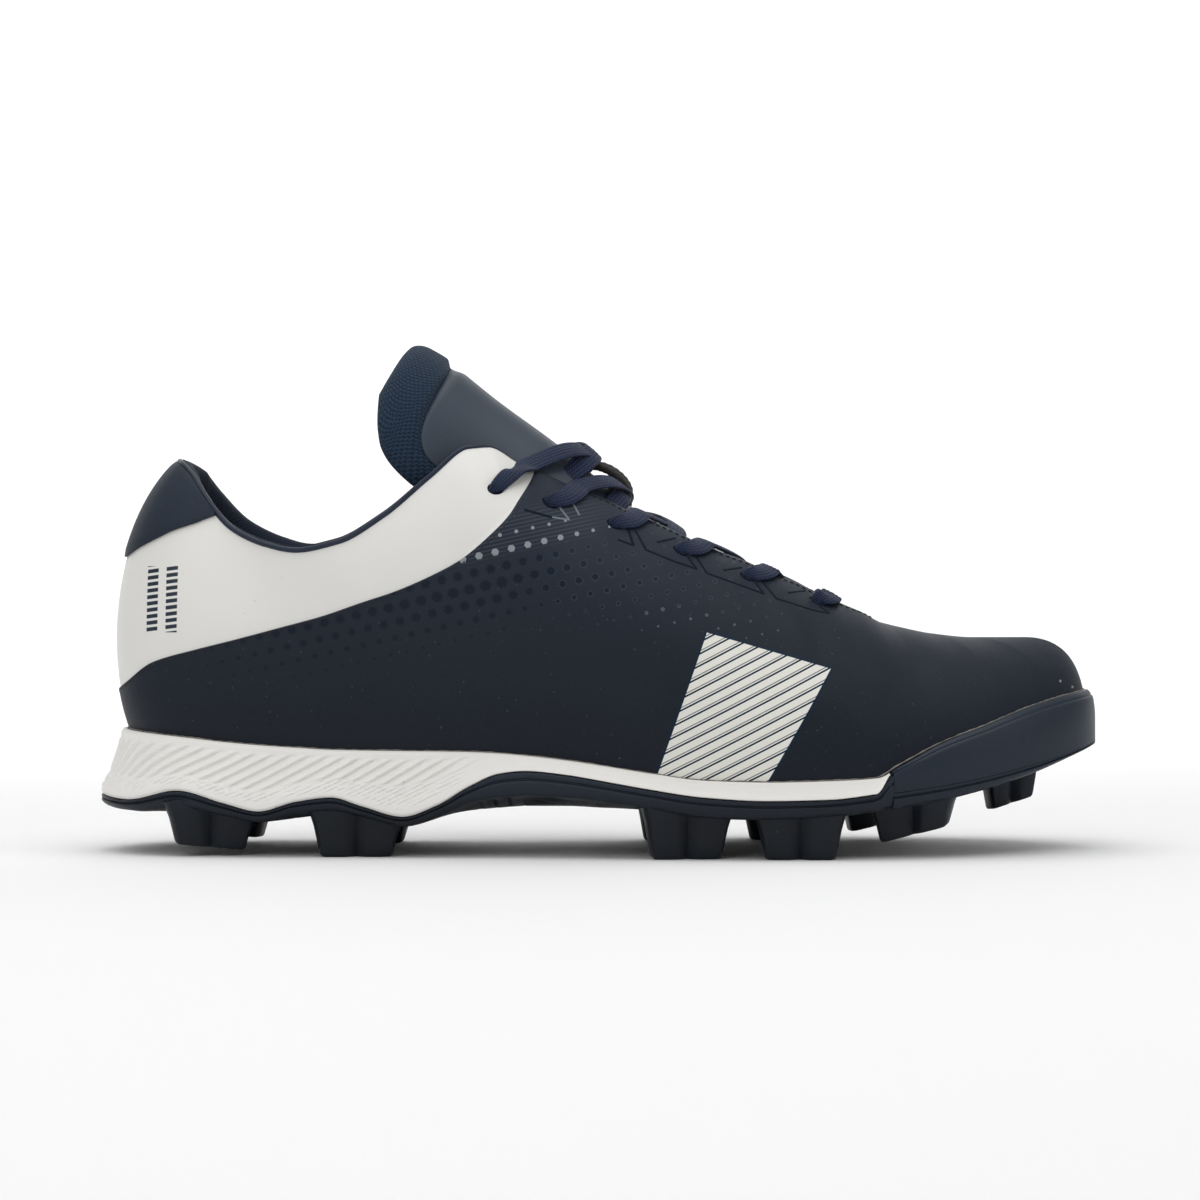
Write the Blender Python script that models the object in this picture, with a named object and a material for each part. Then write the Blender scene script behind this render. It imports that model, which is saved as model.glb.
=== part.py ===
"""Baseball cleat for the right foot, built as a maker puts it together.

+X points to the toe, +Y to the medial side and +Z up. The shoe stands on its studs at Z = 0, and
X = 0 is the middle of its length. The upper is lofted over a last: each section climbs from the sole
to the topline, and the sections are set out by their place round the foot, 0 at the back of the heel
and 1 at the toe.
"""

import math

import bmesh
import bpy
import numpy as np
from mathutils import Matrix, Vector

# Driving sizes, in metres
SHOE_LENGTH = 0.300
BALL_WIDTH = 0.102
STUD_LENGTH = 0.012
SOLE_RISE = 0.024
UPPER_HEIGHT = 0.081
HEEL_LIP = 0.009
TOE_LIP = 0.003
WALL = 0.0022
OVERLAY_STEP = 0.0006
TAB_THICKNESS = 0.0008
RIM_WALL = 0.0019
PLATE_EDGE_ROUND = 0.0022
RIB_DEPTH = 0.0006
INSOLE_THICKNESS = 0.0035
COLLAR_PAD = 0.0055
LINING_EDGE = 0.0012
BINDING_RISE = 0.0013
TONGUE_THICKNESS = 0.0055
TONGUE_PANEL_THICKNESS = 0.0007
LACE_WIDTH = 0.0068
LACE_THICKNESS = 0.0013
ARCH_POWER = 3.0
EYELET_RADIUS = 0.0021
EYELET_DROP = 0.0070
TOP_EYELET_DROP = 0.0120
SCALLOP_DEPTH = 0.0016
STUD_TIP_LENGTH = 0.0200
STUD_BASE_LENGTH = 0.0262
STUD_WIDTH = 0.0115
STUD_FLUTE = 0.0024
KEEPER_WIDTH = 0.0070
KEEPER_THICKNESS = 0.0012
KEEPER_SPAN = 0.0068
KEEPER_RISE = 0.0060
KEEPER_PLACE = 0.5480
GAP = 0.0003

# Places round the foot where the build changes, 0 at the heel and 1 at the toe
VAMP_START = 0.735
RIM_START = 0.690
MIDSOLE_END = 0.688
TOP_EYELET = 0.518
SECOND_EYELET = 0.558
EYELET_STEP = 0.0315
EYELET_ROWS = 6
LINING_END = 0.495
TAB_END = 0.205
RIB_END = 0.415
RIB_PITCH = 0.0050
RIB_SLANT = 0.0120

LATERAL = -1
MEDIAL = 1

# Foot outline: half widths as shares of BALL_WIDTH
FOOT_OUTLINE = (
    # around, lateral, medial
    (0.0, 0.000, 0.000),
    (0.1, 0.196, 0.196),
    (0.2, 0.299, 0.294),
    (0.3, 0.324, 0.299),
    (0.4, 0.353, 0.284),
    (0.5, 0.422, 0.338),
    (0.6, 0.466, 0.441),
    (0.7, 0.426, 0.456),
    (0.8, 0.300, 0.390),
    (0.9, 0.125, 0.245),
    (1.0, -0.059, 0.059),
)

# Top of each section. along is a share of SHOE_LENGTH, the two asides of BALL_WIDTH, the two ups of
# UPPER_HEIGHT above the sole. rise is the angle at which the section arrives, 90 upright, 0 level.
TOPLINE = (
    # around, along, lateral aside, medial aside, lateral up, medial up, rise
    (0.000, 0.0753, 0.000, 0.000, 1.000, 1.000, 42),
    (0.060, 0.0807, 0.069, 0.069, 0.988, 0.990, 46),
    (0.120, 0.0933, 0.140, 0.137, 0.948, 0.962, 52),
    (0.180, 0.1117, 0.206, 0.201, 0.852, 0.876, 62),
    (0.240, 0.1383, 0.260, 0.250, 0.741, 0.772, 73),
    (0.300, 0.1733, 0.299, 0.284, 0.679, 0.704, 82),
    (0.350, 0.2043, 0.319, 0.299, 0.658, 0.679, 84),
    (0.400, 0.2467, 0.331, 0.309, 0.691, 0.710, 80),
    (0.440, 0.2910, 0.328, 0.309, 0.790, 0.802, 72),
    (0.470, 0.3333, 0.309, 0.294, 0.926, 0.932, 62),
    (0.500, 0.3700, 0.265, 0.255, 1.035, 1.033, 48),
    (0.525, 0.3910, 0.228, 0.223, 1.041, 1.037, 42),
    (0.550, 0.4267, 0.190, 0.194, 0.975, 0.975, 36),
    (0.580, 0.4833, 0.167, 0.172, 0.889, 0.889, 32),
    (0.610, 0.5467, 0.146, 0.161, 0.784, 0.784, 30),
    (0.640, 0.6100, 0.127, 0.151, 0.677, 0.677, 28),
    (0.670, 0.6733, 0.108, 0.147, 0.584, 0.584, 25),
    (0.700, 0.7367, 0.078, 0.137, 0.477, 0.477, 22),
    (0.722, 0.7710, 0.027, 0.096, 0.418, 0.418, 12),
    (0.735, 0.7800, -0.034, 0.034, 0.403, 0.403, 0),
)

# Ridge of the vamp and toe box, which both sides share
RIDGE = (
    # around, along, aside, up
    (0.735, 0.7800, 0.034, 0.403),
    (0.800, 0.8333, 0.045, 0.358),
    (0.870, 0.8760, 0.053, 0.343),
    (0.940, 0.9110, 0.058, 0.343),
    (1.000, 0.9300, 0.059, 0.343),
)

# How each section leaves the sole and how full it is; flare is outward from upright, in degrees
FULLNESS = (
    # around, lateral flare, medial flare, low pull, top pull
    (0.0, 22, 22, 0.33, 0.30),
    (0.1, 20, 19, 0.33, 0.30),
    (0.2, 14, 12, 0.33, 0.30),
    (0.3, 9, 6, 0.33, 0.30),
    (0.4, 4, 2, 0.30, 0.30),
    (0.5, 3, 4, 0.28, 0.30),
    (0.6, 8, 9, 0.26, 0.30),
    (0.7, 8, 9, 0.28, 0.34),
    (0.8, 6, 7, 0.36, 0.42),
    (0.9, 5, 5, 0.42, 0.44),
    (1.0, 4, 4, 0.45, 0.45),
)

# Lines along the side of the sole, as shares of SOLE_RISE above the studs' roots
SOLE_LINES = (
    # along, seat, rim, border of white and navy, edge of the underside, core of the underside
    (0.000, 0.958, 1.067, 0.300, 0.150, 0.05),
    (0.053, 0.930, 1.000, 0.183, 0.045, 0.00),
    (0.095, 0.895, 0.950, 0.310, 0.100, -0.05),
    (0.137, 0.860, 0.893, 0.163, 0.010, -0.05),
    (0.170, 0.820, 0.858, 0.065, -0.060, -0.05),
    (0.205, 0.790, 0.830, 0.180, 0.040, -0.05),
    (0.240, 0.770, 0.805, 0.235, 0.070, -0.05),
    (0.270, 0.755, 0.798, 0.130, 0.000, -0.05),
    (0.310, 0.740, 0.792, 0.005, -0.110, -0.05),
    (0.345, 0.730, 0.790, 0.150, 0.030, -0.03),
    (0.375, 0.715, 0.785, 0.370, 0.180, 0.00),
    (0.405, 0.700, 0.770, 0.530, 0.245, 0.03),
    (0.430, 0.680, 0.745, 0.565, 0.270, 0.05),
    (0.470, 0.620, 0.690, 0.520, 0.245, 0.05),
    (0.500, 0.560, 0.637, 0.458, 0.210, 0.03),
    (0.550, 0.450, 0.540, 0.350, 0.120, 0.00),
    (0.600, 0.375, 0.460, 0.260, 0.020, 0.00),
    (0.660, 0.350, 0.440, 0.220, 0.000, 0.00),
    (0.720, 0.365, 0.455, 0.235, 0.030, 0.01),
    (0.765, 0.410, 0.485, 0.300, 0.090, 0.05),
    (0.790, 0.450, 0.640, 0.340, 0.130, 0.08),
    (0.830, 0.530, 0.895, 0.410, 0.210, 0.15),
    (0.870, 0.640, 1.075, 0.500, 0.320, 0.26),
    (0.920, 0.800, 1.300, 0.640, 0.500, 0.42),
    (0.960, 0.930, 1.430, 0.770, 0.680, 0.60),
    (1.000, 1.080, 1.517, 0.920, 0.860, 0.78),
)

# Outward spread of the sole at its widest, as a share of HEEL_LIP
SOLE_SPREAD = (
    # around, lateral, medial
    (0.00, 1.00, 1.00),
    (0.10, 0.86, 0.86),
    (0.20, 0.68, 0.66),
    (0.30, 0.60, 0.56),
    (0.40, 0.52, 0.48),
    (0.50, 0.42, 0.44),
    (0.60, 0.38, 0.38),
    (0.80, 0.36, 0.36),
    (1.00, 0.34, 0.34),
)

# Navy panel's upper edge on the quarter, where the wall steps: share of UPPER_HEIGHT by share of length
PANEL_EDGE = (
    # along, up
    (0.000, 0.120),
    (0.027, 0.170),
    (0.060, 0.250),
    (0.105, 0.298),
    (0.147, 0.337),
    (0.190, 0.380),
    (0.230, 0.420),
    (0.270, 0.470),
    (0.302, 0.509),
    (0.340, 0.570),
    (0.364, 0.619),
    (0.395, 0.712),
    (0.412, 0.778),
    (0.422, 0.838),
    (0.433, 0.915),
    (0.440, 1.000),
)

# Tongue: centre line of its face, half width, drop of its sides, half arc in degrees, and fullness
TONGUE = (
    # along, up, half width, drop, half arc, fullness
    (0.7933, 0.290, 0.150, 0.060, 40, 0.45),
    (0.7500, 0.395, 0.190, 0.090, 45, 0.50),
    (0.7000, 0.505, 0.225, 0.120, 48, 0.50),
    (0.6333, 0.618, 0.250, 0.150, 50, 0.50),
    (0.5667, 0.727, 0.262, 0.180, 54, 0.55),
    (0.5167, 0.822, 0.265, 0.230, 60, 0.65),
    (0.4733, 0.945, 0.255, 0.300, 68, 0.85),
    (0.4333, 1.108, 0.246, 0.340, 74, 1.00),
    (0.3900, 1.245, 0.254, 0.350, 79, 1.05),
    (0.3500, 1.383, 0.278, 0.340, 80, 1.05),
    (0.3133, 1.452, 0.262, 0.270, 76, 0.70),
)

# Studs: along as a share of SHOE_LENGTH, aside of BALL_WIDTH, clearance of STUD_LENGTH
STUDS = (
    # name, along, aside, tip clearance, tilt and yaw in degrees, size
    ("heel_rear_lateral", 0.118, -0.262, 0.220, 5.5, 10, 1.0),
    ("heel_rear_medial", 0.118, 0.255, 0.220, 5.5, -10, 1.0),
    ("heel_front_lateral", 0.262, -0.288, 0.0, 0, 2, 1.04),
    ("heel_front_medial", 0.262, 0.262, 0.0, 0, -2, 1.04),
    ("ball_lateral", 0.583, -0.385, 0.0, 0, 6, 1.0),
    ("ball_medial", 0.580, 0.340, 0.0, 0, -8, 1.0),
    ("tread_lateral", 0.693, -0.405, 0.0, 0, -2, 1.02),
    ("tread_medial", 0.690, 0.395, 0.0, 0, -2, 1.0),
    ("fore_lateral", 0.806, -0.325, 0.570, -15, -14, 0.96),
    ("fore_medial", 0.790, 0.385, 0.380, -13, 6, 0.90),
    ("toe", 0.919, 0.170, 1.060, -17, 14, 0.66),
)

MATERIALS = {
    # name: colour, roughness, metallic
    "navy_leather": ((0.016, 0.024, 0.040, 1), 0.55, 0.0),
    "white_foam": ((0.80, 0.79, 0.77, 1), 0.60, 0.0),
    "navy_rubber": ((0.010, 0.018, 0.032, 1), 0.45, 0.0),
    "navy_mesh": ((0.014, 0.030, 0.055, 1), 0.80, 0.0),
    "navy_cord": ((0.010, 0.018, 0.050, 1), 0.70, 0.0),
    "black_hide": ((0.012, 0.011, 0.010, 1), 0.85, 0.0),
    "grey_board": ((0.12, 0.13, 0.15, 1), 0.85, 0.0),
}


def clear_scene():
    for obj in list(bpy.data.objects):
        bpy.data.objects.remove(obj)


def material(name):
    found = bpy.data.materials.get(name)
    if found:
        return found
    colour, roughness, metallic = MATERIALS[name]
    made = bpy.data.materials.new(name)
    made.use_nodes = True
    shader = made.node_tree.nodes["Principled BSDF"]
    shader.inputs["Base Color"].default_value = colour
    shader.inputs["Roughness"].default_value = roughness
    shader.inputs["Metallic"].default_value = metallic
    return made


def smooth_curve(xs, ys, x):
    """Natural cubic spline through (xs, ys), read at x."""
    xs, ys, x = np.asarray(xs, float), np.asarray(ys, float), np.asarray(x, float)
    step = np.diff(xs)
    slope = np.diff(ys) / step
    count = len(xs)
    system = np.eye(count)
    right = np.zeros(count)
    for i in range(1, count - 1):
        system[i, i - 1 : i + 2] = step[i - 1], 2 * (step[i - 1] + step[i]), step[i]
        right[i] = 6 * (slope[i] - slope[i - 1])
    bend = np.linalg.solve(system, right)
    i = np.clip(np.searchsorted(xs, x) - 1, 0, count - 2)
    t = x - xs[i]
    first = slope[i] - step[i] * (2 * bend[i] + bend[i + 1]) / 6
    return ys[i] + first * t + bend[i] / 2 * t**2 + (bend[i + 1] - bend[i]) / (6 * step[i]) * t**3


def steady_curve(xs, ys, x):
    """Cubic through (xs, ys) that never overshoots a row, read at x."""
    xs, ys, x = np.asarray(xs, float), np.asarray(ys, float), np.asarray(x, float)
    step = np.diff(xs)
    slope = np.diff(ys) / step
    tangent = np.zeros(len(xs))
    same = slope[:-1] * slope[1:] > 0
    mean = 2 * slope[:-1] * slope[1:] / np.where(same, slope[:-1] + slope[1:], 1)
    tangent[1:-1] = np.where(same, mean, 0)
    tangent[0], tangent[-1] = slope[0], slope[-1]
    x = np.clip(x, xs[0], xs[-1])
    i = np.clip(np.searchsorted(xs, x) - 1, 0, len(xs) - 2)
    t = (x - xs[i]) / step[i]
    return (
        ys[i] * (2 * t**3 - 3 * t**2 + 1)
        + tangent[i] * step[i] * (t**3 - 2 * t**2 + t)
        + ys[i + 1] * (3 * t**2 - 2 * t**3)
        + tangent[i + 1] * step[i] * (t**3 - t**2)
    )


def ease(low, high, x):
    """0 before low, 1 after high, and smooth between."""
    t = np.clip((np.asarray(x, float) - low) / (high - low), 0, 1)
    return t * t * (3 - 2 * t)


def column(table, number):
    return [row[number] for row in table]


def mirrored(table, number, odd=False):
    """A column read past both ends, so that the two sides of the shoe meet smoothly there."""
    xs, ys = np.array(column(table, 0)), np.array(column(table, number))
    sign = -1 if odd else 1
    low = 2 * ys[0] if odd else 0
    high = 2 * ys[-1] if odd else 0
    xs = np.concatenate([2 * xs[0] - xs[3:0:-1], xs, 2 * xs[-1] - xs[-2:-5:-1]])
    ys = np.concatenate([low + sign * ys[3:0:-1], ys, high + sign * ys[-2:-5:-1]])
    return xs, ys


def side_column(side):
    return 1 if side == LATERAL else 2


def along(share):
    return (share - 0.5) * SHOE_LENGTH


def foot_x(a):
    heel, toe = -SHOE_LENGTH / 2 + HEEL_LIP, SHOE_LENGTH / 2 - TOE_LIP
    return heel + (toe - heel) * (1 - np.cos(np.pi * np.asarray(a, float))) / 2


def foot_y(side, a):
    xs, ys = mirrored(FOOT_OUTLINE, side_column(side), odd=True)
    return side * smooth_curve(xs, ys, a) * BALL_WIDTH


def sole_line(number, x):
    share = steady_curve(column(SOLE_LINES, 0), column(SOLE_LINES, number), x / SHOE_LENGTH + 0.5)
    return STUD_LENGTH + share * SOLE_RISE


def foot_point(side, a):
    x, y = foot_x(a), foot_y(side, a)
    return np.stack([x, y, sole_line(1, x)], -1)


def outward(side, a):
    """Level unit vector square to the foot outline, pointing away from the foot."""
    small = 1e-4
    dx = foot_x(a + small) - foot_x(a - small)
    dy = foot_y(side, a + small) - foot_y(side, a - small)
    n = np.stack([-side * dy, side * dx, np.zeros_like(dx)], -1)
    return n / np.linalg.norm(n, axis=-1, keepdims=True)


def scallop(a):
    """Dip of the eyestay's edge between the eyelets, 0 to 1."""
    phase = (a - SECOND_EYELET) / EYELET_STEP
    wave = (1 - np.cos(2 * np.pi * phase)) / 2
    last = SECOND_EYELET + (EYELET_ROWS - 2) * EYELET_STEP
    return wave * ease(SECOND_EYELET - EYELET_STEP, SECOND_EYELET, a) * (1 - ease(last, last + EYELET_STEP / 2, a))


def top_point(side, a):
    a = np.asarray(a, float)
    aside = 2 if side == LATERAL else 3
    up = 4 if side == LATERAL else 5
    xs, ys = mirrored(TOPLINE, 1)
    x = steady_curve(xs, ys, a)
    y = side * steady_curve(column(TOPLINE, 0), column(TOPLINE, aside), a)
    z = steady_curve(column(TOPLINE, 0), column(TOPLINE, up), a)
    on_ridge = a >= VAMP_START
    x = np.where(on_ridge, steady_curve(column(RIDGE, 0), column(RIDGE, 1), a), x)
    y = np.where(on_ridge, steady_curve(column(RIDGE, 0), column(RIDGE, 2), a), y)
    z = np.where(on_ridge, steady_curve(column(RIDGE, 0), column(RIDGE, 3), a), z)
    return np.stack([along(x), y * BALL_WIDTH, STUD_LENGTH + SOLE_RISE + z * UPPER_HEIGHT], -1)


def ridge_slope(a):
    small = 1e-3
    low, high = top_point(LATERAL, np.maximum(a - small, VAMP_START)), top_point(LATERAL, np.minimum(a + small, 1.0))
    run = high[..., 0] - low[..., 0]
    return (high[..., 2] - low[..., 2]) / np.maximum(run, 1e-6)


def section(side, a):
    """The four control points of the section at a: leaving the sole, and arriving at the topline."""
    a = np.asarray(a, float)
    foot, top, out = foot_point(side, a), top_point(side, a), outward(side, a)
    chord = top - foot
    lean = chord - np.sum(chord * out, -1, keepdims=True) * out
    lean /= np.linalg.norm(lean, axis=-1, keepdims=True)
    flare = np.radians(smooth_curve(*mirrored(FULLNESS, side_column(side)), a))[..., None]
    rise_deg = np.where(a < VAMP_START, steady_curve(column(TOPLINE, 0), column(TOPLINE, 6), a), 0)
    rise = np.radians(rise_deg)[..., None]
    leave = np.cos(flare) * lean + np.sin(flare) * out
    level = -out
    on_vamp = ease(0, 1, 1 - rise_deg / 30)
    tilt = np.zeros_like(level)
    tilt[..., 2] = level[..., 0] * np.where(a >= VAMP_START, ridge_slope(a), ridge_slope(VAMP_START)) * on_vamp
    arrive = np.cos(rise) * (level + tilt) + np.sin(rise) * lean
    arrive /= np.linalg.norm(arrive, axis=-1, keepdims=True)
    top = top - arrive * (SCALLOP_DEPTH * scallop(a))[..., None]
    reach = np.linalg.norm(top - foot, axis=-1, keepdims=True)
    low = smooth_curve(*mirrored(FULLNESS, 3), a)[..., None]
    high = smooth_curve(*mirrored(FULLNESS, 4), a)[..., None]
    return foot, foot + leave * reach * low, top - arrive * reach * high, top


def upper_point(side, a, v):
    """Point of the upper's outer face: a round the foot, v from the sole, 0, to the topline, 1."""
    p0, p1, p2, p3 = section(side, a)
    v = np.asarray(v, float)[..., None]
    return (1 - v) ** 3 * p0 + 3 * v * (1 - v) ** 2 * p1 + 3 * v**2 * (1 - v) * p2 + v**3 * p3


def upper_normal(side, a, v):
    small = 1e-3
    a = np.asarray(a, float)
    v = np.asarray(v, float)
    across = upper_point(side, a + small, v) - upper_point(side, a - small, v)
    climb = upper_point(side, a, np.minimum(v + small, 1)) - upper_point(side, a, np.maximum(v - small, 0))
    n = side * np.cross(climb, across)
    seam = (a <= 1e-6) | (a >= 1 - 1e-6)
    n[..., 1] = np.where(seam, 0, n[..., 1])
    crest = (a >= VAMP_START - 1e-6) & (v >= 1 - 1e-6)
    slope = ridge_slope(a)
    ridge_up = np.stack([-slope, np.zeros_like(slope), np.ones_like(slope)], -1)
    n = np.where(crest[..., None], ridge_up, n)
    return n / np.linalg.norm(n, axis=-1, keepdims=True)


def crossing(side, a, reached):
    """Smallest v at which each section has reached a line; reached(points) is positive past it."""
    v = np.linspace(0, 1, 161)
    found = []
    for place in a:
        past = reached(upper_point(side, np.full(161, place), v)) > 0
        found.append(v[np.argmax(past)] if past.any() else 1.0)
    return np.array(found)


def rim_v(side, a):
    return np.array([
        crossing(side, [place], lambda p, line=sole_line(2, foot_x(place)): p[:, 2] - line)[0] for place in a
    ])


def panel_v(side, a):
    """v of the navy panel's upper edge, easing to mid height on the vamp, where it isn't a step."""
    def above(p):
        share = steady_curve(column(PANEL_EDGE, 0), column(PANEL_EDGE, 1), p[:, 0] / SHOE_LENGTH + 0.5)
        return p[:, 2] - (STUD_LENGTH + SOLE_RISE + share * UPPER_HEIGHT)

    v = np.minimum(crossing(side, a, above), 0.90)
    forward = ease(0.50, 0.62, a)
    return v * (1 - forward) + 0.62 * forward


def step_share(a):
    """1 where the navy panel stands proud of the white quarter, fading out at the eyestay."""
    return 1 - ease(0.46, 0.50, a)


def new_object(name, bm, finish):
    bmesh.ops.remove_doubles(bm, verts=bm.verts, dist=1e-6)
    bmesh.ops.dissolve_degenerate(bm, edges=bm.edges, dist=1e-6)
    bmesh.ops.triangulate(bm, faces=bm.faces, quad_method="SHORT_EDGE")
    bmesh.ops.recalc_face_normals(bm, faces=bm.faces)
    mesh = bpy.data.meshes.new(name)
    bm.to_mesh(mesh)
    bm.free()
    mesh.shade_smooth()
    mesh.set_sharp_from_angle(angle=math.radians(40))
    mesh.materials.append(material(finish))
    obj = bpy.data.objects.new(name, mesh)
    bpy.context.scene.collection.objects.link(obj)
    return obj


def grid_faces(bm, rows, closed=True):
    """Quads between neighbouring rows of points; closed joins each row's last point to its first."""
    made = [[bm.verts.new(p) for p in row] for row in rows]
    count = len(made[0])
    for low, high in zip(made, made[1:]):
        for i in range(count if closed else count - 1):
            j = (i + 1) % count
            bm.faces.new((low[i], low[j], high[j], high[i]))
    return made


def pillow(name, rows, finish):
    """A solid whose first and last rows are zipped shut along the sole's middle."""
    bm = bmesh.new()
    grid_faces(bm, rows)
    return new_object(name, bm, finish)


def sweep(name, loops, finish):
    """A solid through closed loops. Each end is capped by strips between a loop's two halves."""
    bm = bmesh.new()
    made = grid_faces(bm, loops)
    count = len(loops[0])
    for end in (made[0], made[-1]):
        for k in range(count // 2 - 1):
            bm.faces.new((end[k], end[k + 1], end[count - 2 - k], end[count - 1 - k]))
    return new_object(name, bm, finish)


def join_solid(target, cutter, operation):
    """A live Boolean with a hidden helper."""
    cutter.hide_render = True
    cutter.display_type = "WIRE"
    made = target.modifiers.new(cutter.name, "BOOLEAN")
    made.operation = operation
    made.object = cutter
    made.solver = "EXACT"


SOLE_PLACES = np.concatenate([
    np.linspace(0, RIB_END, 17),
    np.linspace(RIB_END, 0.668, 10)[1:],
    np.array([0.679, 0.6875, 0.6883, 0.6892, 0.690, 0.698, 0.710, 0.728, 0.750, 0.775, 0.802, 0.830, 0.860, 0.890, 0.920, 0.947, 0.975, 1.0]),
])
UPPER_PLACES = np.concatenate([
    np.linspace(0, 0.50, 15),
    np.linspace(0.50, VAMP_START, 20)[1:],
    np.array([0.750, 0.775, 0.802, 0.830, 0.860, 0.890, 0.920, 0.947, 0.975, 1.0]),
])


def around_loop(places, read):
    """Points read(side, places) round the shoe: heel, lateral side, toe, medial side."""
    lateral, medial = read(LATERAL, places), read(MEDIAL, places)
    return np.concatenate([lateral, medial[-2:0:-1]])


def spine_point(a):
    """Middle of the sole, drawn in from both ends."""
    middle = (foot_x(0.0) + foot_x(1.0)) / 2
    x = middle + (foot_x(a) - middle) * 0.82
    y = (foot_y(LATERAL, a) + foot_y(MEDIAL, a)) / 2
    return x, y


def spread(side, a, offset):
    """Level place of a point that stands offset outside the foot outline."""
    foot, out = foot_point(side, a), outward(side, a)
    return foot[..., :2] + out[..., :2] * np.asarray(offset)[..., None]


def inboard(side, a, offset, share, edge_z, core_height):
    """Row of a sole face: share 1 at its edge, 0 on the spine, where core_height reads the height at x."""
    edge = spread(side, a, offset)
    x, y = spine_point(a)
    xy = np.stack([x, y], -1) * (1 - share) + edge * share
    blend = ease(0, 1, share)
    return np.concatenate([xy, (core_height(x) * (1 - blend) + edge_z * blend)[:, None]], -1)


def sole_spread(side, a):
    return HEEL_LIP * smooth_curve(*mirrored(SOLE_SPREAD, side_column(side)), a)


def foot_run(side):
    """Fine places round the foot, and the length of the outline from the heel to each."""
    a = np.linspace(0, 1, 1201)
    points = foot_point(side, a)[:, :2]
    steps = np.linalg.norm(np.diff(points, axis=0), axis=1)
    return a, np.concatenate([[0], np.cumsum(steps)])


def border_z(a):
    return sole_line(3, foot_x(a))


def core_top(x):
    """Height of the joint of midsole and outsole along the middle."""
    return sole_line(5, x) + 0.25 * SOLE_RISE


rim_cache = {}


def rim_v_at(side, a):
    key = (side, len(a), round(float(np.sum(a)), 9))
    if key not in rim_cache:
        rim_cache[key] = rim_v(side, a)
    return rim_cache[key]


def upper_offset(side, a, v):
    """How far outside the foot outline the upper's face stands at v."""
    return np.sum((upper_point(side, a, v) - foot_point(side, a)) * outward(side, a), -1)


# Side of the midsole below its rim: drop from rim to border, and spread from rim to lip
MIDSOLE_SIDE = (
    # drop, share of spread
    (0.18, 0.05),
    (0.24, 0.09),
    (0.68, 0.60),
    (0.76, 0.76),
    (0.93, 1.00),
)


def midsole_side_point(side, a, level, proud):
    """Point of the midsole's side at one of its levels, standing proud by a share of the rib's depth."""
    drop, share = MIDSOLE_SIDE[level]
    z = sole_line(2, foot_x(a)) * (1 - drop) + border_z(a) * drop
    start = upper_offset(side, a, rim_v_at(side, a)) + GAP + RIM_WALL
    over = start + (sole_spread(side, a) - start) * share + proud * RIB_DEPTH
    xy = spread(side, a, over)
    return np.concatenate([xy, z[:, None]], -1)


def rib_places(side):
    """Places of the ribs' ridges and hollows at their upper ends and, slanted back, at their lower ends."""
    a, run = foot_run(side)
    last = np.interp(RIB_END, a, run)
    count = 2 * int(last / RIB_PITCH)
    upper_run = np.linspace(0, last, count + 1)
    slant = RIB_SLANT * ease(0, 4 * RIB_SLANT, upper_run) * (1 - ease(last - 2 * RIB_SLANT, last, upper_run))
    return np.interp(upper_run, run, a), np.interp(upper_run - slant, run, a)


def stitch(bm, low, low_at, high, high_at):
    """Triangles between two closed rows of different counts, matched by their run round the shoe."""
    i = j = 0
    low_at, high_at = list(low_at) + [1e9], list(high_at) + [1e9]
    while i < len(low) or j < len(high):
        here, there = low[i % len(low)], high[j % len(high)]
        if j >= len(high) or (i < len(low) and low_at[i + 1] <= high_at[j + 1]):
            bm.faces.new((here, low[(i + 1) % len(low)], there))
            i += 1
        else:
            bm.faces.new((here, high[(j + 1) % len(high)], there))
            j += 1


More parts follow.
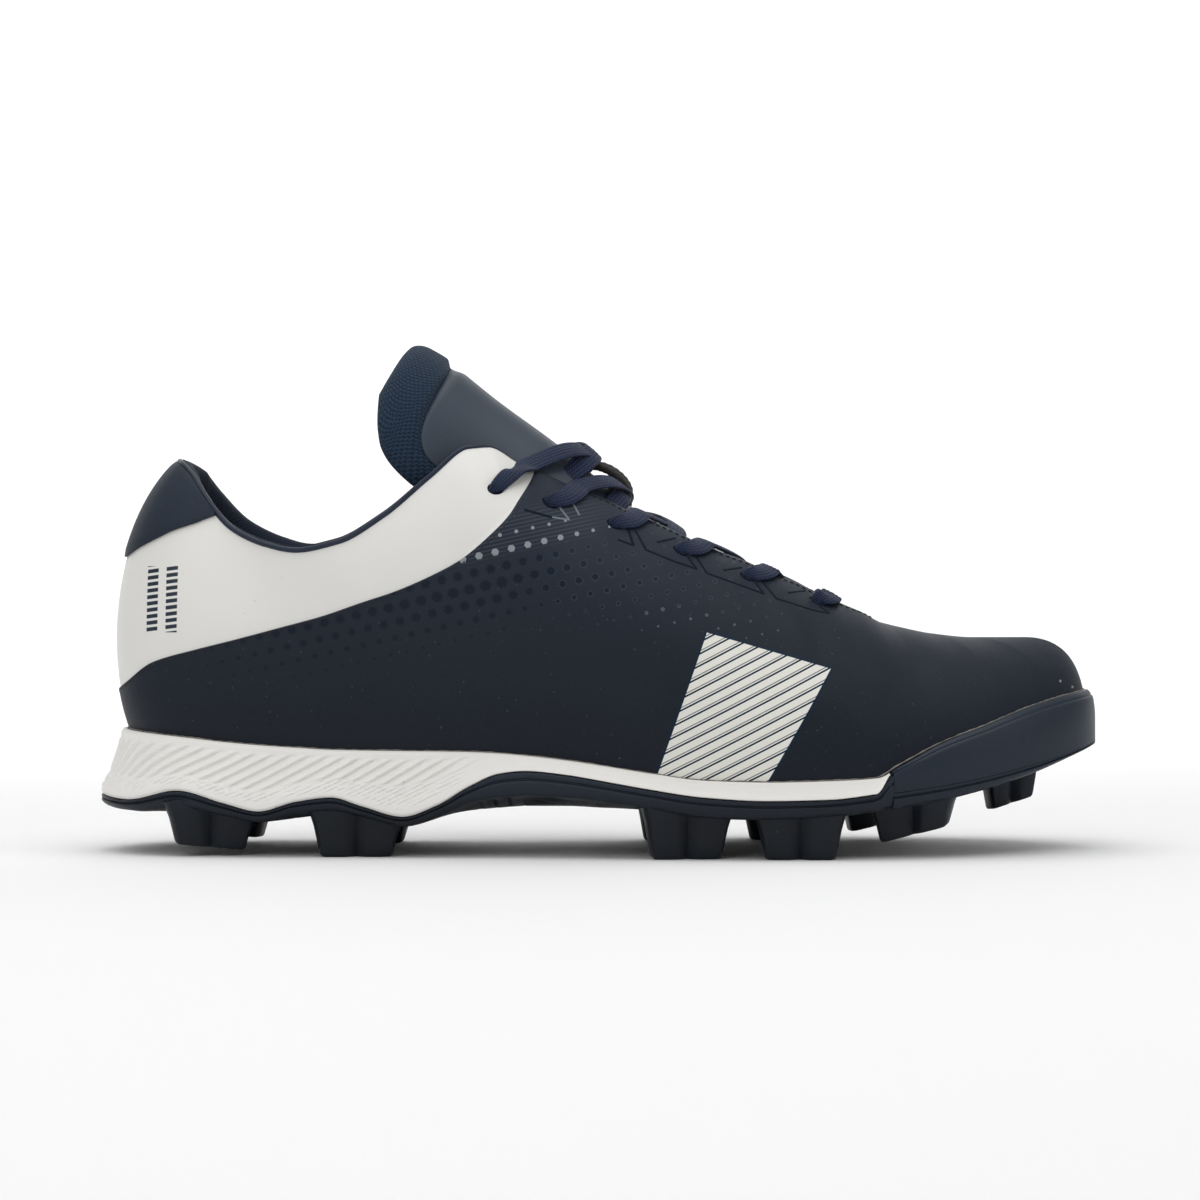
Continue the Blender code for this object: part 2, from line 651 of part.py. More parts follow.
def build_midsole():
    rear = SOLE_PLACES[SOLE_PLACES > RIB_END + 1e-6]
    total = {side: foot_run(side)[1][-1] for side in (LATERAL, MEDIAL)}

    def seat_row(share, over):
        def read(side, a):
            seat = sole_line(1, foot_x(a)) - GAP
            return inboard(side, a, over + 0 * a, share, seat, lambda x: sole_line(1, x) - GAP)
        return read

    def folded(a, point, side):
        """Where the toe rim covers the side, every side row folds onto the edge of the seat."""
        hidden = seat_row(1.0, 0.0)(side, a)
        return np.where((a >= MIDSOLE_END)[:, None], hidden, point)

    def rim_row(over, z_drop):
        def read(side, a):
            x = foot_x(a)
            full = upper_offset(side, a, rim_v_at(side, a)) + GAP + over
            z = sole_line(2, x) - z_drop
            return folded(a, np.concatenate([spread(side, a, full), z[:, None]], -1), side)
        return read

    def foot_row(side, a):
        return folded(a, seat_row(1.0, GAP)(side, a), side)

    def side_row(level):
        def read(side, a):
            return folded(a, midsole_side_point(side, a, level, 0.0), side)
        return read

    def bottom(share):
        def read(side, a):
            over = np.where(a >= MIDSOLE_END, 0.0, sole_spread(side, a) - 2 * GAP)
            return inboard(side, a, over, share, border_z(a), core_top)
        return read

    def ribbed_row(level):
        points, at = [], []
        for side in (LATERAL, MEDIAL):
            places = rib_places(side)[level - 1]
            proud = np.where(np.arange(len(places)) % 2 == 0, 0.5, -0.5)
            proud[-1] = 0
            ribs = midsole_side_point(side, places, level, proud)
            plain = side_row(level)(side, rear)
            fine, run = foot_run(side)
            points.append(np.concatenate([ribs, plain]))
            at.append(np.interp(np.concatenate([places, rear]), fine, run))
        back = total[LATERAL] + total[MEDIAL] - at[1]
        return np.concatenate([points[0], points[1][-2:0:-1]]), np.concatenate([at[0], back[-2:0:-1]])

    at = []
    for side in (LATERAL, MEDIAL):
        fine, run = foot_run(side)
        at.append(np.interp(SOLE_PLACES, fine, run))
    plain_at = np.concatenate([at[0], (total[LATERAL] + total[MEDIAL] - at[1])[-2:0:-1]])
    reads = [seat_row(0.0, 0.0), seat_row(1.0, -WALL - GAP), foot_row, rim_row(0.0, 0.0)]
    reads += [rim_row(RIM_WALL, 2 * GAP), side_row(0)]
    bm = bmesh.new()
    top = grid_faces(bm, [around_loop(SOLE_PLACES, read) for read in reads])
    ribs = [ribbed_row(1), ribbed_row(2)]
    made_ribs = grid_faces(bm, [ribs[0][0], ribs[1][0]])
    reads = [side_row(3), side_row(4), bottom(1.0), bottom(0.72), bottom(0.0)]
    low = grid_faces(bm, [around_loop(SOLE_PLACES, read) for read in reads])
    stitch(bm, top[-1], plain_at, made_ribs[0], ribs[0][1])
    stitch(bm, made_ribs[1], ribs[1][1], low[0], plain_at)
    return new_object("midsole", bm, "white_foam")


def plate_over(side, a):
    """Spread of the outsole's outer side."""
    return sole_spread(side, a)


def build_outsole():
    """Plate with the rim that wraps the toe; behind the rim its rows fold onto the plate's edge."""
    def top(share):
        def read(side, a):
            over = np.where(a >= RIM_START, GAP, plate_over(side, a) - 2 * GAP)
            return inboard(side, a, over, share, border_z(a) - GAP, lambda x: core_top(x) - GAP)
        return read

    def ledge(side, a):
        return top(1.0)(side, a)

    def folded(side, a, over, z):
        point = np.concatenate([spread(side, a, over), z[:, None]], -1)
        return np.where((a >= RIM_START)[:, None], point, ledge(side, a))

    def inside(share):
        def read(side, a):
            v = rim_v_at(side, a) * share
            z = upper_point(side, a, v)[:, 2] - GAP * (share == 0)
            return folded(side, a, upper_offset(side, a, v) + GAP, z)
        return read

    def bulge(height, wide):
        def read(side, a):
            z = sole_line(2, foot_x(a)) * height + border_z(a) * (1 - height)
            thin = upper_offset(side, a, rim_v_at(side, a)) + GAP + 0.6 * RIM_WALL
            return folded(side, a, thin * (1 - wide) + np.maximum(plate_over(side, a), thin) * wide, z)
        return read

    def side_row(drop, inset):
        def read(side, a):
            z = (border_z(a) - GAP) * (1 - drop) + sole_line(4, foot_x(a)) * drop
            return np.concatenate([spread(side, a, plate_over(side, a) - inset), z[:, None]], -1)
        return read

    def under(share):
        def read(side, a):
            over = plate_over(side, a) - 2.4 * PLATE_EDGE_ROUND
            edge = sole_line(4, foot_x(a)) - 0.02 * SOLE_RISE
            return inboard(side, a, over, share, edge, lambda x: sole_line(5, x))
        return read

    reads = [top(0.0), top(0.72), ledge, inside(0.0), inside(0.5), inside(1.0)]
    reads += [bulge(0.985, 0.0), bulge(0.84, 0.75), bulge(0.45, 1.0)]
    reads += [side_row(0.12, 0.0), side_row(0.62, 0.2 * PLATE_EDGE_ROUND), side_row(1.0, PLATE_EDGE_ROUND)]
    reads += [under(1.0), under(0.60), under(0.0)]
    outsole = pillow("outsole", [around_loop(SOLE_PLACES, read) for read in reads], "navy_rubber")
    for stud in STUDS:
        join_solid(outsole, build_stud(*stud), "UNION")
    return outsole


def plate_middle(x, y):
    """Height of the middle of the plate's thickness at a level place."""
    heel, toe = float(foot_x(0.0)), float(foot_x(1.0))
    a = np.array([math.acos(1 - 2 * min(max((x - heel) / (toe - heel), 0.0), 1.0)) / math.pi])
    middle = spine_point(a)[1][0]
    side = LATERAL if y < middle else MEDIAL
    edge = spread(side, a, plate_over(side, a) - 2 * GAP)[0][1]
    share = ease(0, 1, (y - middle) / (edge - middle))
    edge_z = (border_z(a)[0] + sole_line(4, foot_x(a))[0]) / 2
    core_z = sole_line(5, foot_x(a))[0] + 0.12 * SOLE_RISE
    return float(core_z * (1 - share) + edge_z * share)


def build_stud(name, share, aside, clearance, tilt, yaw, size):
    """Moulded stud: a tapering block with a flute down each long side and a flat foot."""
    x, y = along(share), aside * BALL_WIDTH
    tip_z = clearance * STUD_LENGTH
    outline = (
        # length share, width share, flute
        (-1.00, -0.60, 0), (-0.72, -1.00, 0), (-0.30, -1.00, 0), (0.00, -1.00, 1), (0.30, -1.00, 0), (0.80, -0.92, 0),
        (1.00, -0.45, 0), (1.00, 0.45, 0), (0.80, 0.92, 0), (0.30, 1.00, 0), (0.00, 1.00, 1), (-0.30, 1.00, 0),
        (-0.72, 1.00, 0), (-1.00, 0.60, 0),
    )
    turn = Matrix.Rotation(math.radians(yaw), 3, "Z")
    slope = math.tan(math.radians(-tilt))
    bm = bmesh.new()
    loops = []
    for length, width, level in (
        (STUD_TIP_LENGTH, STUD_WIDTH * 0.86, 0.0),
        (STUD_BASE_LENGTH, STUD_WIDTH * 1.12, 1.0),
    ):
        ring = []
        for u, w, flute in outline:
            half = width / 2 - STUD_FLUTE * flute
            local = turn @ Vector((u * length / 2 * size, w * half * min(1.0, size + 0.1), 0))
            root_z = plate_middle(x + local.x, y + local.y)
            z = (tip_z + local.x * slope) * (1 - level) + root_z * level
            ring.append(bm.verts.new((x + local.x, y + local.y, z)))
        loops.append(ring)
    for loop in loops:
        bm.faces.new(loop)
    count = len(outline)
    for i in range(count):
        j = (i + 1) % count
        bm.faces.new((loops[0][i], loops[0][j], loops[1][j], loops[1][i]))
    return new_object("stud_" + name, bm, "navy_rubber")


# Share of a section over which the navy panel's edge steps down, and the rows its inner face uses too
STEP_SPAN = 0.009
INNER_ROWS = (0, 2, 4, 6, 8, 9, 10, 11)


def upper_rows(side):
    """v of each row, rim to topline, with the panel's edge between two rows of its own."""
    a = UPPER_PLACES
    rim, edge = rim_v_at(side, a), panel_v(side, a)
    edge = np.maximum(edge, rim + 0.08)
    rows = [0 * a, rim / 2, rim]
    rows += [rim + (edge - rim) * share for share in (0.25, 0.5, 0.75)]
    rows += [edge, edge + STEP_SPAN]
    rows += [edge + STEP_SPAN + (1 - edge - STEP_SPAN) * share for share in (0.25, 0.5, 0.75, 1.0)]
    return rows


def build_upper():
    bm = bmesh.new()
    outer, inner = [], []
    sides = {side: upper_rows(side) for side in (LATERAL, MEDIAL)}
    for number in range(len(sides[LATERAL])):
        raised = OVERLAY_STEP if number <= 6 else 0.0
        face, lining = [], []
        for side in (LATERAL, MEDIAL):
            v = sides[side][number]
            point, normal = upper_point(side, UPPER_PLACES, v), upper_normal(side, UPPER_PLACES, v)
            if number == 0:
                normal = outward(side, UPPER_PLACES)
            lowered = (OVERLAY_STEP - raised) * step_share(UPPER_PLACES)[:, None]
            face.append(point - normal * lowered)
            lining.append(point - normal * WALL)
        outer.append(np.concatenate([face[0], face[1][-2:0:-1]]))
        if number in INNER_ROWS:
            inner.append(np.concatenate([lining[0], lining[1][-2:0:-1]]))
    made_outer, made_inner = grid_faces(bm, outer), grid_faces(bm, inner)
    count = len(made_outer[0])
    places = np.concatenate([UPPER_PLACES, UPPER_PLACES[-2:0:-1]])
    for i in range(count):
        j = (i + 1) % count
        bm.faces.new((made_outer[0][i], made_outer[0][j], made_inner[0][j], made_inner[0][i]))
        if max(places[i], places[j]) <= VAMP_START + 1e-6:
            bm.faces.new((made_outer[-1][i], made_outer[-1][j], made_inner[-1][j], made_inner[-1][i]))
    upper = new_object("upper", bm, "navy_leather")
    for number, (side, a, v) in enumerate(eyelets()):
        join_solid(upper, build_eyelet_cutter(f"eyelet_cutter_{number}", side, a, v), "DIFFERENCE")
    return upper


def v_below_top(side, a, drop):
    """v of the point that lies drop below the topline, measured down the section."""
    v = np.linspace(1, 0.4, 241)
    points = upper_point(side, np.full(241, a), v)
    run = np.concatenate([[0], np.cumsum(np.linalg.norm(np.diff(points, axis=0), axis=1))])
    return float(np.interp(drop, run, v))


def eyelets():
    """Side, place and v of every eyelet, from the top pair to the toe."""
    made = []
    for number in range(EYELET_ROWS):
        a = TOP_EYELET if number == 0 else SECOND_EYELET + (number - 1) * EYELET_STEP
        drop = TOP_EYELET_DROP if number == 0 else EYELET_DROP
        for side in (LATERAL, MEDIAL):
            made.append((side, a, v_below_top(side, a, drop)))
    return made


def build_eyelet_cutter(name, side, a, v):
    point = Vector(upper_point(side, np.array([a]), np.array([v]))[0])
    normal = Vector(upper_normal(side, np.array([a]), np.array([v]))[0])
    bm = bmesh.new()
    bmesh.ops.create_cone(
        bm, segments=8, radius1=EYELET_RADIUS, radius2=EYELET_RADIUS, depth=4 * WALL, cap_ends=True
    )
    turn = normal.to_track_quat("Z", "Y").to_matrix().to_4x4()
    bmesh.ops.transform(bm, matrix=Matrix.Translation(point - normal * WALL / 2) @ turn, verts=bm.verts)
    return new_object(name, bm, "navy_leather")


def build_heel_tab():
    """Overlay that caps the back of the collar, one thin sheet over the upper's own face."""
    a_half = np.linspace(0, TAB_END, 9)
    loops = []
    for side, order in ((LATERAL, a_half[::-1]), (MEDIAL, a_half[1:])):
        low = 0.600 + 0.38 * (order / TAB_END) ** 2
        ring = []
        steps = (0.0, 0.35, 0.7, 1.0)
        for over, shares in ((GAP + TAB_THICKNESS, steps), (GAP, steps[::-1])):
            for share in shares:
                v = low + (0.995 - low) * share
                over_wall = over - OVERLAY_STEP
                ring.append(upper_point(side, order, v) + upper_normal(side, order, v) * over_wall)
        loops.append(np.stack(ring, 1))
    return sweep("heel_tab", np.concatenate(loops), "navy_leather")


def build_lining():
    """Padded collar lining: it rolls over the topline and hangs inside the upper."""
    keep = UPPER_PLACES <= LINING_END
    loops = []
    for side, order in ((LATERAL, UPPER_PLACES[keep][::-1]), (MEDIAL, UPPER_PLACES[keep][1:])):
        rows = upper_rows(side)
        v_rows = [row[keep][::-1] if side == LATERAL else row[keep][1:] for row in (rows[11], rows[10], rows[9], rows[8])]
        ones = np.ones_like(order)
        full = COLLAR_PAD * (1 - 0.75 * ease(0.20, LINING_END, order))
        clear = GAP * (1.7 + 1.6 * ease(0.40, LINING_END, order))
        up = upper_point(side, order, ones) - upper_point(side, order, ones * 0.98)
        up /= np.linalg.norm(up, axis=1, keepdims=True)
        top, n_top = upper_point(side, order, ones), upper_normal(side, order, ones)
        lip, over_edge = 2 * GAP * up, (2 * GAP + BINDING_RISE) * up
        ring = [
            top - n_top * (OVERLAY_STEP + GAP) + over_edge * 0.8,
            top - n_top * 0.5 * WALL + over_edge,
            top - n_top * (WALL + GAP + 0.45 * full[:, None]) + over_edge * 0.4,
        ]
        for number, thick in ((1, 1.0), (2, 0.8), (3, 0.0)):
            inset = WALL + clear + LINING_EDGE + full * thick
            v = v_rows[number]
            ring.append(upper_point(side, order, v) - upper_normal(side, order, v) * inset[:, None])
        for number in (3, 2, 1, 0):
            v = v_rows[number]
            inset = WALL + clear
            lifted = lip * (number == 0)
            ring.append(upper_point(side, order, v) - upper_normal(side, order, v) * inset[:, None] + lifted)
        ring += [top - n_top * 0.5 * WALL + lip, top - n_top * OVERLAY_STEP + lip]
        loops.append(np.stack(ring, 1))
    return sweep("collar_lining", np.concatenate(loops), "navy_mesh")


def build_insole():
    """Foam sockliner: flat under, shaped to the foot, clear of the upper's wall."""
    places = np.append(SOLE_PLACES[:-1:2], 1.0)
    inset = -(WALL + 3 * GAP)

    def row(share, lift, over):
        def read(side, a):
            seat = sole_line(1, foot_x(a)) + lift
            return inboard(side, a, over + 0 * a, share, seat, lambda x: sole_line(1, x) + lift)
        return around_loop(places, read)

    rows = [
        row(0.0, INSOLE_THICKNESS * 0.8, inset),
        row(0.6, INSOLE_THICKNESS * 0.8, inset),
        row(1.0, INSOLE_THICKNESS * 1.3, inset - GAP),
        row(1.0, 2.5 * GAP, inset),
        row(0.0, 2.5 * GAP, inset),
    ]
    return pillow("insole", rows, "grey_board")


def tongue_frame(t):
    """Centre of the tongue's face at t, its direction, and its shape values."""
    knots = np.linspace(0, 1, len(TONGUE))
    value = [float(smooth_curve(knots, column(TONGUE, number), t)) for number in range(6)]
    reach = 0.05
    back, ahead = [
        [float(smooth_curve(knots, column(TONGUE, number), min(max(t + step, 0), 1))) for number in (0, 1)]
        for step in (-reach, reach)
    ]
    height = STUD_LENGTH + SOLE_RISE
    centre = Vector((along(value[0]), tongue_aside(value[0]), height + value[1] * UPPER_HEIGHT))
    onward = Vector((
        along(ahead[0]) - along(back[0]),
        tongue_aside(ahead[0]) - tongue_aside(back[0]),
        (ahead[1] - back[1]) * UPPER_HEIGHT,
    )).normalized()
    outer = Vector((0, 1, 0)).cross(onward).normalized()
    if outer.z < 0:
        outer = -outer
    return centre, onward, outer, value


def tongue_aside(share):
    """The throat's middle drifts to the medial side towards the toe."""
    return BALL_WIDTH * 0.034 * float(ease(0.45, 0.78, share))


def tongue_surface(t, w, depth=0.0):
    """Point of the tongue's face: t from the vamp to the top, w across, -1 lateral, sunk by depth."""
    centre, _, outer, value = tongue_frame(t)
    half_width, drop, arc = value[2] * BALL_WIDTH, value[3] * UPPER_HEIGHT, math.radians(value[4])
    angle = w * arc
    across = half_width * math.sin(angle) / math.sin(arc)
    down = drop * (1 - math.cos(angle)) / (1 - math.cos(arc))
    normal = outer * math.cos(angle * 0.9) + Vector((0, 1, 0)) * math.sin(angle * 0.9)
    return centre + Vector((0, 1, 0)) * across - outer * down - normal * depth


TONGUE_ROWS = (*np.linspace(0, 0.9, 14), 0.95, 1.0)


def build_tongue():
    """Padded tongue, from under the vamp up past the collar."""
    loops = []
    for t in TONGUE_ROWS:
        full = tongue_frame(t)[3][5] * TONGUE_THICKNESS
        ring = []
        across = (-1, -0.93, -0.75, -0.5, -0.25, 0, 0.25, 0.5, 0.75, 0.93, 1)
        for w in across:
            edge = 0.25 if abs(w) == 1 else 0.0
            ring.append(tongue_surface(t, w, edge * full + TONGUE_PANEL_THICKNESS + GAP))
        for w in across[::-1]:
            edge = 0.62 if abs(w) == 1 else 1.0 - 0.12 * abs(w)
            ring.append(tongue_surface(t, w, edge * full + TONGUE_PANEL_THICKNESS + GAP))
        loops.append(ring)
    return sweep("tongue", loops, "navy_mesh")


def build_tongue_panel():
    """Smooth panel stitched over the tongue's face, inside its mesh border."""
    loops = []
    for t in TONGUE_ROWS[1:14]:
        reach = 1 - 0.15 * float(ease(0.83, 0.9, t))
        across = [reach * w for w in (-0.75, -0.5, -0.25, 0, 0.25, 0.5, 0.75)]
        ring = [tongue_surface(t, w, -GAP) for w in across]
        ring += [tongue_surface(t, w, TONGUE_PANEL_THICKNESS - GAP) for w in across[::-1]]
        loops.append(ring)
    return sweep("tongue_panel", loops, "navy_leather")


def lace_bar(name, start, end, crown):
    """Flat lace from start to end over a crown."""
    loops = []
    span = end - start
    for share in np.linspace(0, 1, 7):
        arm = 2 * share - 1
        centre = start.lerp(end, share) + crown * (1 - abs(arm) ** ARCH_POWER)
        slope = (span - crown * 2 * ARCH_POWER * math.copysign(abs(arm) ** (ARCH_POWER - 1), arm)).normalized()
        flat = slope.cross(crown).normalized()
        thick = flat.cross(slope).normalized()
        half_w, half_t = flat * LACE_WIDTH / 2, thick * LACE_THICKNESS / 2
        loops.append([
            centre - half_w,
            centre - half_w * 0.8 + half_t,
            centre + half_w * 0.8 + half_t,
            centre + half_w,
            centre + half_w * 0.8 - half_t,
            centre - half_w * 0.8 - half_t,
        ])
    return sweep(name, loops, "navy_cord")


def throat_place(side, a, lift, inward):
    """Place beside the eyestay's edge, lifted square to the upper and moved towards the middle."""
    point = Vector(upper_point(side, np.array([a]), np.array([1.0]))[0])
    normal = Vector(upper_normal(side, np.array([a]), np.array([1.0]))[0])
    return point + normal * lift + Vector((0, -side * inward, 0))


def tongue_crown(start, end):
    """How far a bar has to arch to pass clear over the tongue."""
    middle = (start + end) / 2
    centre, _, outer, _ = min((tongue_frame(t) for t in np.linspace(0, 1, 121)), key=lambda f: (f[0] - middle).length)
    rise = (centre - middle).dot(outer) + LACE_THICKNESS / 2 + 4 * GAP
    return outer * max(rise, LACE_THICKNESS)


def build_laces():
    """Crossed bars between each two rows of eyelets, and one straight bar at the toe end."""
    lateral_rows = [a for side, a, _ in eyelets() if side == LATERAL]
    over, under = LACE_THICKNESS + GAP, -LACE_THICKNESS / 2 - GAP
    for number in range(EYELET_ROWS - 1):
        bars = []
        first, second = lateral_rows[number], lateral_rows[number + 1]
        arrive = first + (second - first) * (0.5 if number == 0 else 0.62)
        dive = over - GAP if number == 0 else under
        for side in (LATERAL, MEDIAL):
            start, end = throat_place(side, first, over, 2 * GAP), throat_place(-side, arrive, dive, LACE_WIDTH * 0.4)
            bars.append(lace_bar(f"lace_bar_{number}_{side}", start, end, tongue_crown(start, end)))
        cross, other = bars
        cross.name = f"lace_cross_{number + 1}"
        cross.data.name = cross.name
        join_solid(cross, other, "UNION")
    last = lateral_rows[-1]
    start, end = throat_place(LATERAL, last, over, 2 * GAP), throat_place(MEDIAL, last, over, 2 * GAP)
    lace_bar("lace_toe_bar", start, end, tongue_crown(start, end))


def build_lace_keeper():
    """Hide loop that stands on the tongue and keeps the lace in the middle."""
    centre, onward, outer, _ = tongue_frame(KEEPER_PLACE)
    wide = Vector((0, 1, 0)) * KEEPER_WIDTH / 2
    loops = []
    for angle in np.linspace(0, math.pi, 13):
        lift = outer * math.sin(angle) - onward * math.cos(angle)
        middle = centre + outer * (KEEPER_THICKNESS + 2 * GAP)
        middle += outer * KEEPER_RISE * math.sin(angle) - onward * KEEPER_SPAN / 2 * math.cos(angle)
        half = lift * KEEPER_THICKNESS / 2
        loops.append([middle - half - wide, middle + half - wide, middle + half + wide, middle - half + wide])
    return sweep("lace_keeper", loops, "black_hide")


def main():
    clear_scene()
    build_outsole()
    build_midsole()
    build_insole()
    build_upper()
    build_lining()
    build_heel_tab()
    build_tongue()
    build_tongue_panel()
    build_laces()
    build_lace_keeper()


main()
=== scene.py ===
import math

import bmesh
import bpy
import numpy as np
from mathutils import Matrix, Vector


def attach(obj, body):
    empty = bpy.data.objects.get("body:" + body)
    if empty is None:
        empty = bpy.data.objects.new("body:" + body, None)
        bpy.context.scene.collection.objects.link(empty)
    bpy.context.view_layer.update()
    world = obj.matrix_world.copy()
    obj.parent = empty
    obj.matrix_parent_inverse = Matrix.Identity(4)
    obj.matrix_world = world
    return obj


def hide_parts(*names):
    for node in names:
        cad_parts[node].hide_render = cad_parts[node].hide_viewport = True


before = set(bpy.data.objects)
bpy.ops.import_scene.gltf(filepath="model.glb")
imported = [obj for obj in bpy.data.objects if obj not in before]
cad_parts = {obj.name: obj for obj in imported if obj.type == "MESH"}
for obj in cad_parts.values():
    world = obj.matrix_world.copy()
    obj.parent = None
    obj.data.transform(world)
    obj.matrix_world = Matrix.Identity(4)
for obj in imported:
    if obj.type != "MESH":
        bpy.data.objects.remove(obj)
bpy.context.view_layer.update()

# Sizes of the shoe, in metres, as its solids have them
SHOE_LENGTH = 0.300
BALL_WIDTH = 0.102
STUD_LENGTH = 0.012
SOLE_RISE = 0.024
UPPER_HEIGHT = 0.081
HEEL_LIP = 0.009
TOE_LIP = 0.003
WALL = 0.0022
OVERLAY_STEP = 0.0006
TAB_THICKNESS = 0.0008
RIM_WALL = 0.0019
PLATE_EDGE_ROUND = 0.0022
RIB_DEPTH = 0.0006
INSOLE_THICKNESS = 0.0035
COLLAR_PAD = 0.0055
LINING_EDGE = 0.0012
BINDING_RISE = 0.0013
TONGUE_THICKNESS = 0.0055
TONGUE_PANEL_THICKNESS = 0.0007
LACE_WIDTH = 0.0068
LACE_THICKNESS = 0.0013
LACE_SAG = 0.0035
ARCH_POWER = 3.0
FACE_SHARE = 0.855
FACE_ARCH_START = 0.78
FACE_TOP = 0.893
TONGUE_SWELL = 0.0021
EYELET_RADIUS = 0.0021
EYELET_STRETCH = 1.22
SCALLOP_DEPTH = 0.0016
STUD_TIP_LENGTH = 0.0200
STUD_BASE_LENGTH = 0.0262
STUD_WIDTH = 0.0115
STUD_FLUTE = 0.0024
KEEPER_WIDTH = 0.0075
KEEPER_THICKNESS = 0.0021
GAP = 0.0003
PIPING_RADIUS = 0.00085
STITCH_PITCH = 0.0021

# Places round the foot, 0 at the heel and 1 at the toe
VAMP_START = 0.735
RIM_START = 0.690
MIDSOLE_END = 0.688
SECOND_EYELET = 0.558
EYELET_STEP = 0.0315
EYELET_ROWS = 6
LINING_END = 0.495
TAB_END = 0.205
RIB_END = 0.415
RIB_PITCH = 0.0050

LATERAL = -1
MEDIAL = 1

FOOT_OUTLINE = (
    # around, lateral, medial
    (0.0, 0.000, 0.000), (0.1, 0.196, 0.196), (0.2, 0.299, 0.294), (0.3, 0.324, 0.299), (0.4, 0.353, 0.284),
    (0.5, 0.422, 0.338), (0.6, 0.466, 0.441), (0.7, 0.426, 0.456), (0.8, 0.300, 0.390), (0.9, 0.125, 0.245),
    (1.0, -0.059, 0.059),
)

TOPLINE = (
    # around, along, lateral aside, medial aside, lateral up, medial up, rise
    (0.000, 0.0753, 0.000, 0.000, 1.000, 1.000, 42), (0.060, 0.0807, 0.069, 0.069, 0.988, 0.990, 46),
    (0.120, 0.0933, 0.140, 0.137, 0.948, 0.962, 52), (0.180, 0.1117, 0.206, 0.201, 0.852, 0.876, 62),
    (0.240, 0.1383, 0.260, 0.250, 0.741, 0.772, 73), (0.300, 0.1733, 0.299, 0.284, 0.679, 0.704, 82),
    (0.350, 0.2043, 0.319, 0.299, 0.658, 0.679, 84), (0.400, 0.2467, 0.331, 0.309, 0.691, 0.710, 80),
    (0.440, 0.2910, 0.328, 0.309, 0.790, 0.802, 72), (0.470, 0.3333, 0.309, 0.294, 0.926, 0.932, 62),
    (0.500, 0.3700, 0.265, 0.255, 1.035, 1.033, 48), (0.525, 0.3910, 0.228, 0.223, 1.041, 1.037, 42),
    (0.550, 0.4267, 0.190, 0.194, 0.975, 0.975, 36), (0.580, 0.4833, 0.167, 0.172, 0.889, 0.889, 32),
    (0.610, 0.5467, 0.146, 0.161, 0.784, 0.784, 30), (0.640, 0.6100, 0.127, 0.151, 0.677, 0.677, 28),
    (0.670, 0.6733, 0.108, 0.147, 0.584, 0.584, 25), (0.700, 0.7367, 0.078, 0.137, 0.477, 0.477, 22),
    (0.722, 0.7710, 0.027, 0.096, 0.418, 0.418, 12), (0.735, 0.7800, -0.034, 0.034, 0.403, 0.403, 0),
)

RIDGE = (
    # around, along, aside, up
    (0.735, 0.7800, 0.034, 0.403), (0.800, 0.8333, 0.045, 0.358), (0.870, 0.8760, 0.053, 0.343),
    (0.940, 0.9110, 0.058, 0.343), (1.000, 0.9300, 0.059, 0.343),
)

FULLNESS = (
    # around, lateral flare, medial flare, low pull, top pull
    (0.0, 22, 22, 0.33, 0.30), (0.1, 20, 19, 0.33, 0.30), (0.2, 14, 12, 0.33, 0.30), (0.3, 9, 6, 0.33, 0.30),
    (0.4, 4, 2, 0.30, 0.30), (0.5, 3, 4, 0.28, 0.30), (0.6, 8, 9, 0.26, 0.30), (0.7, 8, 9, 0.28, 0.34),
    (0.8, 6, 7, 0.36, 0.42), (0.9, 5, 5, 0.42, 0.44), (1.0, 4, 4, 0.45, 0.45),
)

SOLE_LINES = (
    # along, seat, rim, border of white and navy, edge of the underside, core of the underside
    (0.000, 0.958, 1.067, 0.300, 0.150, 0.05), (0.053, 0.930, 1.000, 0.183, 0.045, 0.00),
    (0.095, 0.895, 0.950, 0.310, 0.100, -0.05), (0.137, 0.860, 0.893, 0.163, 0.010, -0.05),
    (0.170, 0.820, 0.858, 0.065, -0.060, -0.05), (0.205, 0.790, 0.830, 0.180, 0.040, -0.05),
    (0.240, 0.770, 0.805, 0.235, 0.070, -0.05), (0.270, 0.755, 0.798, 0.130, 0.000, -0.05),
    (0.310, 0.740, 0.792, 0.005, -0.110, -0.05), (0.345, 0.730, 0.790, 0.150, 0.030, -0.03),
    (0.375, 0.715, 0.785, 0.370, 0.180, 0.00), (0.405, 0.700, 0.770, 0.530, 0.245, 0.03),
    (0.430, 0.680, 0.745, 0.565, 0.270, 0.05), (0.470, 0.620, 0.690, 0.520, 0.245, 0.05),
    (0.500, 0.560, 0.637, 0.458, 0.210, 0.03), (0.550, 0.450, 0.540, 0.350, 0.120, 0.00),
    (0.600, 0.375, 0.460, 0.260, 0.020, 0.00), (0.660, 0.350, 0.440, 0.220, 0.000, 0.00),
    (0.720, 0.365, 0.455, 0.235, 0.030, 0.01), (0.765, 0.410, 0.485, 0.300, 0.090, 0.05),
    (0.790, 0.450, 0.640, 0.340, 0.130, 0.08), (0.830, 0.530, 0.895, 0.410, 0.210, 0.15),
    (0.870, 0.640, 1.075, 0.500, 0.320, 0.26), (0.920, 0.800, 1.300, 0.640, 0.500, 0.42),
    (0.960, 0.930, 1.430, 0.770, 0.680, 0.60), (1.000, 1.080, 1.517, 0.920, 0.860, 0.78),
)

SOLE_SPREAD = (
    # around, lateral, medial
    (0.00, 1.00, 1.00), (0.10, 0.86, 0.86), (0.20, 0.68, 0.66), (0.30, 0.60, 0.56), (0.40, 0.52, 0.48),
    (0.50, 0.42, 0.44), (0.60, 0.38, 0.38), (0.80, 0.36, 0.36), (1.00, 0.34, 0.34),
)

